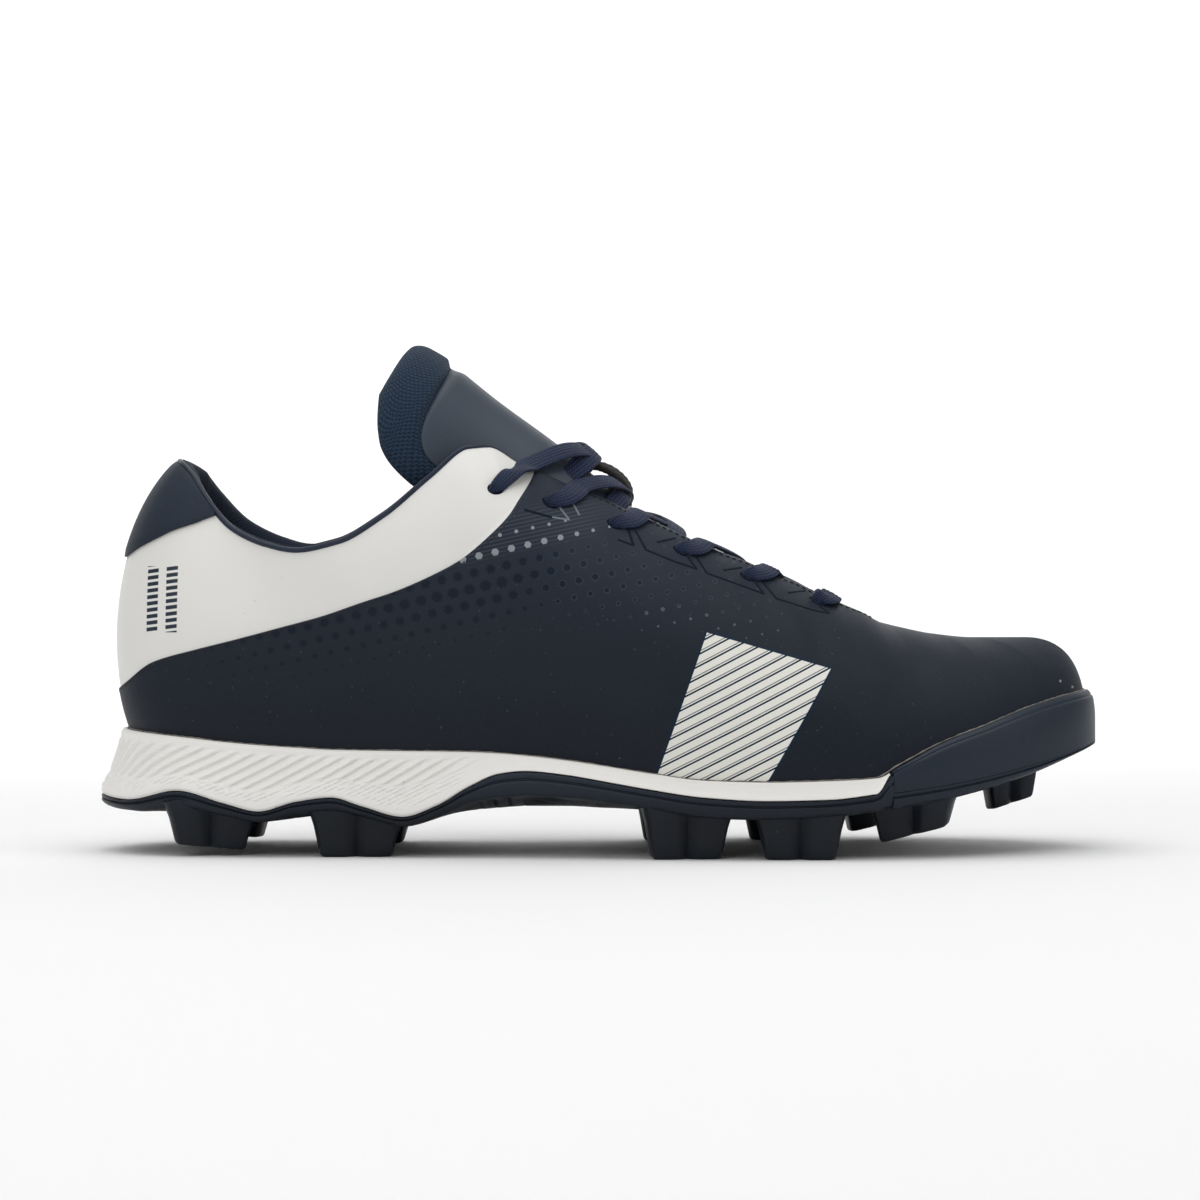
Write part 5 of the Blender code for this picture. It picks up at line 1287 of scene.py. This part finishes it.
def build_outsole():
    """Plate with a bead along its top edge and the rim that wraps the toe."""
    at_wedge = (MIDSOLE_END, RIM_START - 2e-4, RIM_START + 1e-6)
    a = np.unique(np.concatenate([sole_columns()[::3], at_wedge, (1.0,)]))

    def top(share, over):
        def read(side, a):
            out = np.where(a >= RIM_START, GAP, sole_spread(side, a) + over)
            return inboard(side, a, out, share, border_z(a) - GAP, lambda x: core_top(x) - GAP)
        return read

    def folded(side, a, over, z):
        point = np.concatenate([spread(side, a, over), z[:, None]], -1)
        return np.where((a >= RIM_START)[:, None], point, top(1.0, -2 * GAP)(side, a))

    def inside(share):
        def read(side, a):
            v = rim_v_at(side, a) * share
            z = upper_point(side, a, v)[:, 2] - GAP * (share == 0)
            return folded(side, a, upper_offset(side, a, v) + GAP, z)
        return read

    def rim_over(side, a, height):
        """How far the toe rim stands outside the foot outline; height is 1 at its top edge."""
        wide = steady_curve((0.0, 0.45, 0.84, 0.93, 0.985, 1.0), (1.0, 1.0, 0.75, 0.42, 0.10, 0.0), height)
        thin = upper_offset(side, a, rim_v_at(side, a)) + GAP + 0.6 * RIM_WALL
        groove = 0.00035 * np.exp(-(((height - 0.905) / 0.018) ** 2))
        return thin * (1 - wide) + np.maximum(sole_spread(side, a), thin) * wide - groove

    def bulge(height):
        def read(side, a):
            z = sole_line(2, foot_x(a)) * height + border_z(a) * (1 - height)
            return folded(side, a, rim_over(side, a, height), z)
        return read

    def border_row(side, a):
        over = np.where(a >= RIM_START, rim_over(side, a, 0.0), sole_spread(side, a) - GAP)
        return np.concatenate([spread(side, a, over), (border_z(a) - GAP)[:, None]], -1)

    def side_row(drop, inset):
        def read(side, a):
            x = foot_x(a)
            z = (border_z(a) - GAP) * (1 - drop) + sole_line(4, x) * drop
            low, high = sole_line(3, x), sole_line(2, x)
            height = np.clip((z - low) / (high - low), 0, 1) * (a < RIM_START)
            slots = ease(0.060, 0.068, x) * (1 - ease(0.120, 0.126, x))
            slots = slots * (np.abs(((x / 0.0072) % 1.0) - 0.5) < 0.30)
            cut = 0.0009 * slots * math.exp(-(((drop - 0.93) / 0.05) ** 2))
            over = np.where(height > 0, rim_over(side, a, height), sole_spread(side, a))
            return np.concatenate([spread(side, a, over - inset - cut), z[:, None]], -1)
        return read

    def under(share):
        def read(side, a):
            over = sole_spread(side, a) - 2.4 * PLATE_EDGE_ROUND
            edge = sole_line(4, foot_x(a)) - 0.02 * SOLE_RISE
            row = inboard(side, a, over, share, edge, lambda x: sole_line(5, x))
            row[:, 2] += tread_relief(row[:, 0], share)
            return row
        return read

    heights = (1.0, 0.992, 0.985, 0.965, 0.94, 0.92, 0.905, 0.89, 0.87, 0.80, 0.70, 0.58, 0.45, 0.30, 0.15)
    reads = [top(share, -2 * GAP) for share in (0.0, 0.72, 1.0)]
    reads += [inside(share) for share in (0.0, 0.5, 1.0)]
    reads += [bulge(height) for height in heights] + [border_row]
    profile = (
        # drop, inset
        (0.02, 0.0002), (0.06, 0.0), (0.20, 0.0), (0.25, 0.0002), (0.29, 0.0006), (0.33, 0.0006),
        (0.37, 0.0002), (0.42, 0.0), (0.55, 0.0), (0.68, 0.0003), (0.78, 0.0006), (0.87, 0.0010),
        (0.93, 0.0013), (0.99, 0.0018), (1.03, 0.0027), (1.05, 0.0036),
    )
    reads += [side_row(*row) for row in profile]
    reads += [under(share) for share in np.linspace(1.0, 0.0, 26)]
    rows = [both_sides(a, read) for read in reads]
    return loft("outsole_plate", rows, (RUBBER,), sharp=40)


def plate_middle(x, y):
    """Height of the middle of the plate's thickness at a level place."""
    heel, toe = float(foot_x(0.0)), float(foot_x(1.0))
    a = np.array([math.acos(1 - 2 * min(max((x - heel) / (toe - heel), 0.0), 1.0)) / math.pi])
    middle = spine_point(a)[1][0]
    side = LATERAL if y < middle else MEDIAL
    edge = spread(side, a, sole_spread(side, a) - 2 * GAP)[0][1]
    share = ease(0, 1, (y - middle) / (edge - middle))
    edge_z = (border_z(a)[0] + sole_line(4, foot_x(a))[0]) / 2
    core_z = sole_line(5, foot_x(a))[0] + 0.12 * SOLE_RISE
    return float(core_z * (1 - share) + edge_z * share)


def build_studs():
    """Moulded studs: tapering blocks with a flute down each long side, soft corners and a flat foot."""
    outline = (
        # along, across, share of the flute
        (-1.00, -0.55, 0), (-0.97, -0.80, 0), (-0.90, -0.96, 0), (-0.72, -1.00, 0), (-0.34, -1.00, 0),
        (-0.20, -1.00, 0.35), (0.00, -1.00, 1), (0.20, -1.00, 0.35), (0.34, -1.00, 0), (0.80, -0.94, 0),
        (0.93, -0.86, 0), (1.00, -0.60, 0),
    )
    outline = outline + tuple((u, -w, flute) for u, w, flute in outline[::-1])
    levels = (
        # share of the way up, inset
        (0.0, 0.0011), (0.010, 0.0005), (0.035, 0.00015), (0.08, 0.0), (0.3, 0.0), (0.6, 0.0),
        (0.9, -0.0004), (1.0, -0.0010),
    )
    made = []
    for name, share, aside, clearance, tilt, yaw, size in STUDS:
        x, y = along(share), aside * BALL_WIDTH
        turn = Matrix.Rotation(math.radians(yaw), 3, "Z")
        slope = math.tan(math.radians(-tilt))
        rows = []
        for level, inset in levels:
            length = STUD_TIP_LENGTH + (STUD_BASE_LENGTH - STUD_TIP_LENGTH) * level
            width = STUD_WIDTH * (0.86 + 0.26 * level)
            row = []
            for u, w, flute in outline:
                half = width / 2 - STUD_FLUTE * flute - inset
                reach = length / 2 - inset
                local = turn @ Vector((u * reach * size, w * half * min(1.0, size + 0.1), 0))
                root_z = plate_middle(x + local.x, y + local.y)
                tip = clearance * STUD_LENGTH + local.x * slope
                row.append((x + local.x, y + local.y, tip * (1 - level) + root_z * level))
            rows.append(row)
        made.append(loft("stud_" + name, rows, (RUBBER,), caps=True, sharp=38))
    return joined(made, "moulded_studs")


def build_insole():
    """Foam sockliner that fills the bottom of the upper and curls up at its edge."""
    a = sole_columns()[::4]
    a = np.append(a, 1.0) if a[-1] < 1 else a
    inset = -(WALL + 3 * GAP)

    def row(share, lift, over):
        def read(side, a):
            seat = sole_line(1, foot_x(a)) + lift
            return inboard(side, a, over + 0 * a, share, seat, lambda x: sole_line(1, x) + lift)
        return both_sides(a, read)

    shares = (0.0, 0.3, 0.6, 0.8, 0.92, 0.98)
    rows = [row(share, INSOLE_THICKNESS * (0.8 + 0.5 * share**4), inset) for share in shares]
    rows.append(row(1.0, INSOLE_THICKNESS * 1.1, inset - GAP))
    rows += [row(share, 2.5 * GAP, inset) for share in (1.0, 0.0)]
    return loft("sockliner", rows, (BOARD,), sharp=60)


def tongue_aside(share):
    """The throat's middle drifts to the medial side towards the toe."""
    return BALL_WIDTH * 0.034 * float(ease(0.45, 0.78, share))


def tongue_frame(t):
    """Centre of the tongue's face at t, its direction, and its shape values."""
    knots = np.linspace(0, 1, len(TONGUE))
    value = [float(smooth_curve(knots, column(TONGUE, number), t)) for number in range(6)]
    reach = 0.05
    back, ahead = [
        [float(smooth_curve(knots, column(TONGUE, number), min(max(t + step, 0), 1))) for number in (0, 1)]
        for step in (-reach, reach)
    ]
    height = STUD_LENGTH + SOLE_RISE
    centre = Vector((along(value[0]), tongue_aside(value[0]), height + value[1] * UPPER_HEIGHT))
    onward = Vector((
        along(ahead[0]) - along(back[0]),
        tongue_aside(ahead[0]) - tongue_aside(back[0]),
        (ahead[1] - back[1]) * UPPER_HEIGHT,
    )).normalized()
    outer = Vector((0, 1, 0)).cross(onward).normalized()
    if outer.z < 0:
        outer = -outer
    return centre, onward, outer, value


def tongue_row(t, ws, depths):
    """Points across the tongue at t; depths are sunk below its face."""
    centre, _, outer, value = tongue_frame(t)
    half_width, drop, arc = value[2] * BALL_WIDTH, value[3] * UPPER_HEIGHT, math.radians(value[4])
    row = []
    for w, depth in zip(ws, depths):
        angle = w * arc
        across = half_width * math.sin(angle) / math.sin(arc)
        down = drop * (1 - math.cos(angle)) / (1 - math.cos(arc))
        normal = outer * math.cos(angle * 0.9) + Vector((0, 1, 0)) * math.sin(angle * 0.9)
        row.append(centre + Vector((0, 1, 0)) * across - outer * down - normal * depth)
    return row


def face_reach(t):
    """Half width of the smooth face across the tongue, closing in an arch at its top."""
    past = max(t - FACE_ARCH_START, 0) / (FACE_TOP - FACE_ARCH_START)
    return FACE_SHARE * max(1 - past**3.0, 0.0) ** (1 / 2.4)


def build_tongue():
    """Padded knit tongue whose edge swells round the smooth face."""
    ts = np.concatenate([np.linspace(0, 0.80, 70), np.linspace(0.80, 1.0, 44)[1:]])
    ws = np.sin(np.linspace(-np.pi / 2, np.pi / 2, 33))
    rows, lay = [], []
    run = 0.0
    for number, t in enumerate(ts):
        full = tongue_frame(t)[3][5] * TONGUE_THICKNESS
        closing = math.sqrt(max(1 - (max(t - 0.955, 0) / 0.0452) ** 2.4, 0.004))
        middle = 0.5 * full + TONGUE_PANEL_THICKNESS + GAP
        reach = face_reach(t)
        outer_depth, inner_depth = [], []
        for w in ws:
            thin = (1 - abs(w) ** 7) ** 0.5 * closing
            edge_w = (abs(w) - reach) / max(1 - reach, 0.05)
            above_face = float(ease(FACE_TOP, FACE_TOP + 0.022, t))
            swell = TONGUE_SWELL * max(float(ease(0, 0.35, edge_w)), above_face)
            swell *= 0.35 + 0.65 * float(ease(0.25, 0.6, t))
            outer_depth.append(middle - (0.5 * full + swell) * thin)
            inner_depth.append(middle + 0.5 * full * thin)
        kept = ws * (1 - 0.22 * (max(t - 0.90, 0) / 0.10) ** 3.2)
        ring = tongue_row(t, kept, outer_depth) + tongue_row(t, kept[::-1], inner_depth[::-1])
        rows.append([tuple(p) for p in ring])
        if number:
            run += (Vector(rows[-1][16]) - Vector(rows[-2][16])).length
        widths = ws * 0.030
        lay.append([(run, u, 0) for u in widths] + [(run, u + 0.07, 0) for u in widths[::-1]])
    return loft("tongue_pad", rows, (TONGUE_KNIT,), caps=True, lay=lay, sharp=80)


def build_tongue_face():
    """Smooth panel stitched over the tongue, its edges rolled into the knit."""
    arched = (FACE_TOP - 0.0005 - FACE_ARCH_START) * np.sin(np.linspace(0, np.pi / 2, 26))[1:]
    ts = np.concatenate([np.linspace(0.069, FACE_ARCH_START, 60), FACE_ARCH_START + arched])
    rows = []
    for t in ts:
        reach = max(face_reach(t), 0.02)
        shares = np.sin(np.linspace(-np.pi / 2, np.pi / 2, 29))
        rolled = float(ease(FACE_TOP - 0.03, FACE_TOP, t))
        top = [-GAP + 0.0011 * (abs(s) ** 9 + rolled) for s in shares]
        base = [TONGUE_PANEL_THICKNESS + 0.0004 + 0.0006 * abs(s) ** 9 for s in shares]
        ring = tongue_row(t, shares * reach, top) + tongue_row(t, shares[::-1] * reach, base[::-1])
        rows.append([tuple(p) for p in ring])
    return loft("tongue_face", rows, (TONGUE_FACE,), caps=True, sharp=60)


def throat_place(side, a, lift, inward):
    """Place beside the eyestay's edge, lifted square to the upper and moved towards the middle."""
    point, normal = point_at(side, a, 1.0)
    return point + normal * lift + Vector((0, -side * inward, 0))


def tongue_crown(start, end, lift):
    """How far a strip has to arch to pass over the tongue at a height of lift."""
    middle = (start + end) / 2
    frames = [tongue_frame(t) for t in np.linspace(0, 1, 121)]
    centre, _, outer, _ = min(frames, key=lambda f: (f[0] - middle).length)
    rise = (centre - middle).dot(outer) + LACE_THICKNESS / 2 + 1.5 * GAP + lift
    return outer * max(rise, -LACE_SAG)


def smooth_path(stops, per=10):
    """Smooth curve through rows of numbers, with per steps from each to the next."""
    data = np.array(stops, float)
    made = []
    for i in range(len(data) - 1):
        here, there = data[i], data[i + 1]
        before = data[i - 1] if i else 2 * here - there
        after = data[i + 2] if i + 2 < len(data) else 2 * there - here
        made += [between_stops(before, here, there, after, t) for t in np.arange(per) / per]
    made.append(data[-1])
    return np.array(made)


def lace_strip(name, stops):
    """Flat braided strip through stops, with a few raised cords along it."""
    data = smooth_path([(*place, *across, width, thickness) for place, across, width, thickness in stops])
    centres, wide = data[:, :3], data[:, 3:6]
    run = unit(np.gradient(centres, axis=0))
    wide = unit(wide - np.sum(wide * run, 1, keepdims=True) * run)
    thick = np.cross(run, wide)
    length = run_along(centres)
    rows, lay = [], []
    turn = np.linspace(0, 2 * np.pi, 36, endpoint=False)
    u = np.sign(np.cos(turn)) * np.abs(np.cos(turn)) ** 0.75
    h = np.sign(np.sin(turn)) * np.abs(np.sin(turn)) ** 0.55
    cords = 1 + 0.16 * np.cos(2 * np.pi * 2.5 * u)
    for i in range(len(centres)):
        half, deep = data[i, 6] / 2, data[i, 7] / 2
        rows.append(centres[i] + wide[i] * (u * half)[:, None] + thick[i] * (h * cords * deep)[:, None])
        across = u * LACE_WIDTH / 2 + 0.004 * (np.sin(turn) < 0)
        lay.append(np.stack([np.full(36, length[i]), across, 0 * u], 1))
    return loft(name, rows, (BRAID,), caps=True, lay=lay, sharp=80)


def eyelet_stops(side, a, v, lean):
    """Stops from inside, through an eyelet and over the eyestay; it passes the edge lean further on."""
    point, normal = point_at(side, a, v)
    edge, _ = point_at(side, a + lean, 1.0)
    up = (edge - point).normalized()
    ahead = (point_at(side, a + 0.008, v)[0] - point_at(side, a - 0.008, v)[0]).normalized()
    lift = LACE_THICKNESS * 0.8
    climb = [point_at(side, a + lean * share**0.6, v + (1 - v) * share, lift)[0] for share in (0.30, 0.66)]
    return [
        (point - normal * (WALL + 0.0032) - up * 0.0015, ahead, LACE_WIDTH * 0.58, LACE_THICKNESS * 1.5),
        (point - normal * WALL * 0.8 - up * 0.0004, ahead, LACE_WIDTH * 0.58, LACE_THICKNESS * 1.6),
        (point + normal * 0.0006 + up * 0.0008, ahead, LACE_WIDTH * 0.66, LACE_THICKNESS * 1.55),
        (climb[0], ahead, LACE_WIDTH * 0.86, LACE_THICKNESS * 1.2),
        (climb[1], ahead, LACE_WIDTH * 0.98, LACE_THICKNESS * 1.05),
    ]


def build_laces():
    """The lace up through every eyelet, crossed over the tongue and straight at the toe end."""
    made = []
    places = [(a, [v for _, b, v in eyelets() if b == a]) for side, a, _ in eyelets() if side == LATERAL]
    over, under = 0.6 * LACE_THICKNESS + GAP, -LACE_THICKNESS / 2 - GAP

    def arch(start, end, shares, bow, lift):
        """Stops across the tongue: bow moves their middle towards the toe, and lift raises it."""
        stops = []
        ahead = Vector((bow, 0, 0))
        crown = tongue_crown(start + ahead, end + ahead, lift)
        span = end - start
        for share in shares:
            arm = 2 * share - 1
            centre = start.lerp(end, share) + crown * (1 - abs(arm) ** ARCH_POWER) + ahead * (1 - arm * arm)
            fall = 2 * ARCH_POWER * math.copysign(abs(arm) ** (ARCH_POWER - 1), arm)
            slope = span - crown * fall - ahead * 4 * arm
            flat = slope.normalized().cross(crown).normalized()
            flat = flat if flat.x > 0 else -flat
            stops.append((centre, flat, LACE_WIDTH, LACE_THICKNESS))
        return stops

    for number in range(EYELET_ROWS - 1):
        (first, vs), (second, next_vs) = places[number], places[number + 1]
        arrive = second + LACE_ARRIVALS[number]
        lean, bow, lift = LACE_LEANS[number], LACE_BOWS[number], LACE_LIFTS[number]
        for side in (LATERAL, MEDIAL):
            v = vs[0 if side == LATERAL else 1]
            on_top = (side == MEDIAL) == (number % 2 == 0)
            start = throat_place(side, first + lean, over, 2 * GAP)
            end = throat_place(-side, arrive, under, LACE_WIDTH * 0.4)
            stops = eyelet_stops(side, first, v, lean)
            layer = LACE_THICKNESS * on_top
            shares = (0.0, 0.16, 0.33, 0.5, 0.67, 0.84, 1.0)
            stops += arch(start, end, shares, bow + 0.4 * layer, lift + layer)
            v_end = next_vs[0 if -side == LATERAL else 1]
            under_v = 0.5 * (v_end + 1)
            sunk, _ = point_at(-side, arrive * 0.6 + second * 0.4, under_v, -(WALL + 0.0018))
            last, _ = point_at(-side, second, v_end, -(WALL + 0.0030))
            flat = stops[-1][1]
            stops.append((sunk, flat, LACE_WIDTH * 0.95, LACE_THICKNESS))
            stops.append((last, flat, LACE_WIDTH * 0.8, LACE_THICKNESS * 1.1))
            made.append(lace_strip(f"lace_{number + 1}_{'lateral' if side == LATERAL else 'medial'}", stops))
    last, vs = places[-1]
    lean = LACE_LEANS[-1]
    start, end = [throat_place(side, last + lean, over, 2 * GAP) for side in (LATERAL, MEDIAL)]
    stops = eyelet_stops(LATERAL, last, vs[0], lean)
    stops += arch(start, end, (0.0, 0.2, 0.5, 0.8, 1.0), 0.0, 0.0)
    stops += eyelet_stops(MEDIAL, last, vs[1], lean)[::-1]
    made.append(lace_strip("lace_toe", stops))
    return made


def build_keeper():
    """Hide loop that stands on the tongue and keeps the lace in the middle."""
    aside = tongue_aside(0.5)
    centres = smooth_path([(x / 1000, aside, z / 1000) for x, z in KEEPER_PATH], 12)
    run = unit(np.gradient(centres, axis=0))
    rows = []
    for number, (centre, onward) in enumerate(zip(centres, run)):
        twist = math.radians(14) * math.sin(math.pi * number / len(centres))
        level = Vector((0, 1, 0))
        lift = Vector(onward).cross(level)
        across = level * math.cos(twist) + lift * math.sin(twist)
        thick = lift * math.cos(twist) - level * math.sin(twist)
        row = []
        for turn in np.linspace(0, 2 * np.pi, 28, endpoint=False):
            u = math.copysign(abs(math.cos(turn)) ** 0.35, math.cos(turn))
            h = math.copysign(abs(math.sin(turn)) ** 0.6, math.sin(turn))
            deep = h * KEEPER_THICKNESS / 2 * (1 + 0.08 * math.sin(number * 1.3 + turn * 3))
            row.append(tuple(Vector(centre) + across * u * KEEPER_WIDTH / 2 + thick * deep))
        rows.append(row)
    return loft("keeper_loop", rows, (HIDE,), caps=True, sharp=60)


def ribbons(name, paths, finish, width=0.00045, lift=0.00006):
    """Thin printed lines laid on the upper: each path is points with their normals."""
    made = []
    for number, (points, normals) in enumerate(paths):
        centres = points + normals * lift * 0.2
        made.append(tube(f"{name}_{number}", centres, normals, width / 2, finish, 8, flat=0.22))
    return joined(made, name)


def seen_from_side(side, marks):
    """Fine path on the upper through marks given as along and up, in millimetres, as seen from the side."""
    a = np.linspace(0.30, 0.90, 241)
    v = np.linspace(0.2, 1.0, 161)
    grid = upper_point(side, np.repeat(a, len(v)), np.tile(v, len(a)))
    fine = []
    for start, end in zip(marks, marks[1:]):
        steps = max(int(math.dist(start, end) / 0.6), 2)
        fine += [np.array(start) + (np.array(end) - start) * k / steps for k in range(steps)]
    fine.append(np.array(marks[-1]))
    wanted = np.array(fine) / 1000
    nearest = [np.argmin((grid[:, 0] - mark[0]) ** 2 + (grid[:, 2] - mark[1]) ** 2) for mark in wanted]
    places, climbs = a[np.array(nearest) // len(v)], v[np.array(nearest) % len(v)]
    for _ in range(4):
        here = upper_point(side, places, climbs)
        da = (upper_point(side, places + 1e-3, climbs) - here) / 1e-3
        dv = (here - upper_point(side, places, climbs - 1e-3)) / 1e-3
        miss_x, miss_z = wanted[:, 0] - here[:, 0], wanted[:, 1] - here[:, 2]
        area = da[:, 0] * dv[:, 2] - dv[:, 0] * da[:, 2]
        places = places + np.clip((miss_x * dv[:, 2] - miss_z * dv[:, 0]) / area, -0.01, 0.01)
        climbs = climbs + np.clip((miss_z * da[:, 0] - miss_x * da[:, 2]) / area, -0.02, 0.02)
        climbs = np.minimum(climbs, 0.995)
    return skin_point(side, places, climbs, 0 * places), upper_normal(side, places, climbs)


def build_eyestay_print():
    """The lines printed along both eyestays, one piece for each ink."""
    pieces = []
    for ink, finish in (("teal", TEAL_INK), ("pale", PALE_INK)):
        lines = [marks for kind, *marks in EYESTAY_LINES if kind == ink]
        paths = [seen_from_side(side, marks) for side in (LATERAL, MEDIAL) for marks in lines]
        pieces.append(ribbons(f"eyestay_{ink}_lines", paths, finish, 0.0009 if ink == "teal" else 0.0006))
    return pieces


def seam(name, points, normals, finish, pitch=STITCH_PITCH, length=0.0013, radius=0.00021):
    """A row of stitches along a path, each a small bead of thread."""
    run = run_along(points)
    count = int(run[-1] / pitch)
    deselect()
    bpy.ops.mesh.primitive_cube_add(size=1)
    bead = bpy.context.object
    bpy.ops.object.mode_set(mode="EDIT")
    bpy.ops.mesh.bevel(offset=0.32, segments=2, affect="EDGES")
    bpy.ops.object.mode_set(mode="OBJECT")
    shape = np.array([v.co for v in bead.data.vertices])
    shape_faces = [tuple(p.vertices) for p in bead.data.polygons]
    bpy.data.objects.remove(bead)
    all_points, all_faces = [], []
    for k in range(count):
        at = (k + 0.5) * pitch
        place = np.array([np.interp(at, run, points[:, i]) for i in range(3)])
        ahead = np.array([np.interp(at + 0.0004, run, points[:, i]) for i in range(3)]) - place
        normal = np.array([np.interp(at, run, normals[:, i]) for i in range(3)])
        ahead /= np.linalg.norm(ahead)
        normal -= ahead * (normal @ ahead)
        normal /= np.linalg.norm(normal)
        side = np.cross(normal, ahead)
        base = len(all_points) * len(shape)
        scale = np.array([length, radius * 2, radius * 2])
        all_points.append(place + (shape * scale) @ np.array([ahead, side, normal]))
        all_faces += [tuple(base + i for i in face) for face in shape_faces]
    mesh = bpy.data.meshes.new(name)
    mesh.from_pydata(np.concatenate(all_points).tolist(), [], all_faces)
    mesh.shade_smooth()
    mesh.materials.append(finish)
    piece = bpy.data.objects.new(name, mesh)
    bpy.context.scene.collection.objects.link(piece)
    return piece


def build_seams():
    """Stitching below the eyestay's edge and along the top of the navy panel."""
    made = []
    for side, word in ((LATERAL, "lateral"), (MEDIAL, "medial")):
        a = np.linspace(SECOND_EYELET + 0.012, VAMP_START - 0.012, 150)
        v = np.array([v_below_top(side, place, 0.0021) for place in a])
        points = skin_point(side, a, v, 0 * a + 0.00006)
        made.append(seam(f"eyestay_seam_{word}", points, upper_normal(side, a, v), THREAD))
        a = np.linspace(0.02, 0.54, 260)
        v = np.maximum(panel_v(side, a) - 0.008, 0)
        points, normals = skin_point(side, a, v, 0 * a), upper_normal(side, a, v)
        made.append(seam(f"panel_seam_{word}", points, normals, THREAD, 0.0013, 0.0008, 0.00013))
    return joined(made, "upper_stitching")


def build_glue_line():
    """Thin uneven bead of glue where the upper meets the sole."""
    a = np.linspace(0, 1, 700)

    def read(side, a):
        v = np.minimum(rim_v_at(side, a) + 0.002, 1)
        return upper_point(side, a, v) + upper_normal(side, a, v) * 0.00012

    centres = both_sides(a, read)
    normals = both_sides(a, lambda side, a: upper_normal(side, a, rim_v_at(side, a)))
    turn = np.arange(len(centres))
    radii = 0.00022 * (1 + 0.35 * np.sin(turn * 0.21) * np.sin(turn * 0.057) + 0.25 * np.sin(turn * 0.83))
    centres, normals = np.concatenate([centres, centres[:1]]), np.concatenate([normals, normals[:1]])
    radii = np.append(radii, radii[0])
    return tube("glue_line", centres, normals, radii, GLUE, 8)


def build_backdrop():
    """Pale floor that curves up behind the shoe."""
    profile = [(-3.0, 0.0), (0.9, 0.0)]
    profile += [(0.9 + 0.9 * math.sin(t), 0.9 - 0.9 * math.cos(t)) for t in np.linspace(0.1, math.pi / 2, 12)]
    profile += [(1.8, 3.0)]
    rows = np.array([[(x, y, z) for x in (-4.0, 4.0)] for y, z in profile])
    numbers = np.arange(rows.shape[0] * 2).reshape(-1, 2)
    faces = np.concatenate([strip(numbers[i], numbers[i + 1]) for i in range(len(rows) - 1)])
    finish = Finish("pale_floor", 0.9, Specular_IOR_Level=0.1)
    faint = finish.noise(6.0, 2.0)
    pale = finish.finish(finish.shade(0.995 + (faint - 0.5) * 0.01, (0.93, 0.93, 0.93, 1)))
    mesh = bpy.data.meshes.new("floor")
    mesh.from_pydata(rows.reshape(-1, 3).tolist(), [], faces.tolist())
    mesh.shade_smooth()
    mesh.materials.append(pale)
    floor = bpy.data.objects.new("floor", mesh)
    bpy.context.scene.collection.objects.link(floor)
    return floor


def light(name, place, aim, size, power):
    """A soft rectangular light at place, turned to aim."""
    lamp = bpy.data.lights.new(name, "AREA")
    lamp.shape, lamp.size, lamp.size_y, lamp.energy = "RECTANGLE", size[0], size[1], power
    made = bpy.data.objects.new(name, lamp)
    made.location = place
    made.rotation_euler = (Vector(aim) - Vector(place)).to_track_quat("-Z", "Y").to_euler()
    bpy.context.scene.collection.objects.link(made)


def build_studio():
    """Soft daylight, four softboxes and the camera at the photograph's angle."""
    world = bpy.data.worlds.new("studio")
    world.use_nodes = True
    world.node_tree.nodes["Background"].inputs["Color"].default_value = (1, 1, 1, 1)
    world.node_tree.nodes["Background"].inputs["Strength"].default_value = 0.32
    bpy.context.scene.world = world
    light("top_softbox", (-0.10, -0.10, 1.35), (0, 0, 0), (2.0, 1.6), 15)
    light("front_softbox", (-0.7, -1.3, 0.95), (0, 0, 0.07), (1.1, 0.8), 4.5)
    light("toe_softbox", (1.1, -0.5, 0.55), (0.05, 0, 0.06), (0.6, 0.6), 1.5)
    light("backdrop_softbox", (0, 0.75, 1.3), (0, 1.9, 0.8), (2.4, 0.6), 16)
    bpy.context.scene.view_settings.view_transform = "Standard"
    view = bpy.data.cameras.new("camera")
    view.lens, view.sensor_width = 100.4, 36
    camera = bpy.data.objects.new("camera", view)
    camera.location = (0, -1.010, 0.075)
    camera.rotation_euler = (math.radians(90), 0, 0)
    bpy.context.scene.collection.objects.link(camera)
    bpy.context.scene.camera = camera


build_backdrop()
build_studio()
upper = build_upper()
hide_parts("upper")
lining = build_lining()
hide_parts("collar_lining")
tab = build_heel_tab()
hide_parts("heel_tab")
midsole = build_midsole()
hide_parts("midsole")
outsole = build_outsole()
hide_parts("outsole")
insole = build_insole()
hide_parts("insole")
tongue = build_tongue()
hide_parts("tongue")
tongue_face = build_tongue_face()
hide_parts("tongue_panel")
laces = build_laces()
for number in range(EYELET_ROWS - 1):
    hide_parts(f"lace_cross_{number + 1}")
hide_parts("lace_toe_bar")
keeper = build_keeper()
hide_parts("lace_keeper")
details = [build_studs(), build_piping(), build_glue_line(), build_seams(), *build_eyestay_print()]
for piece in (upper, lining, tab, midsole, outsole, insole, tongue, tongue_face, *laces, keeper, *details):
    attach(piece, "root")
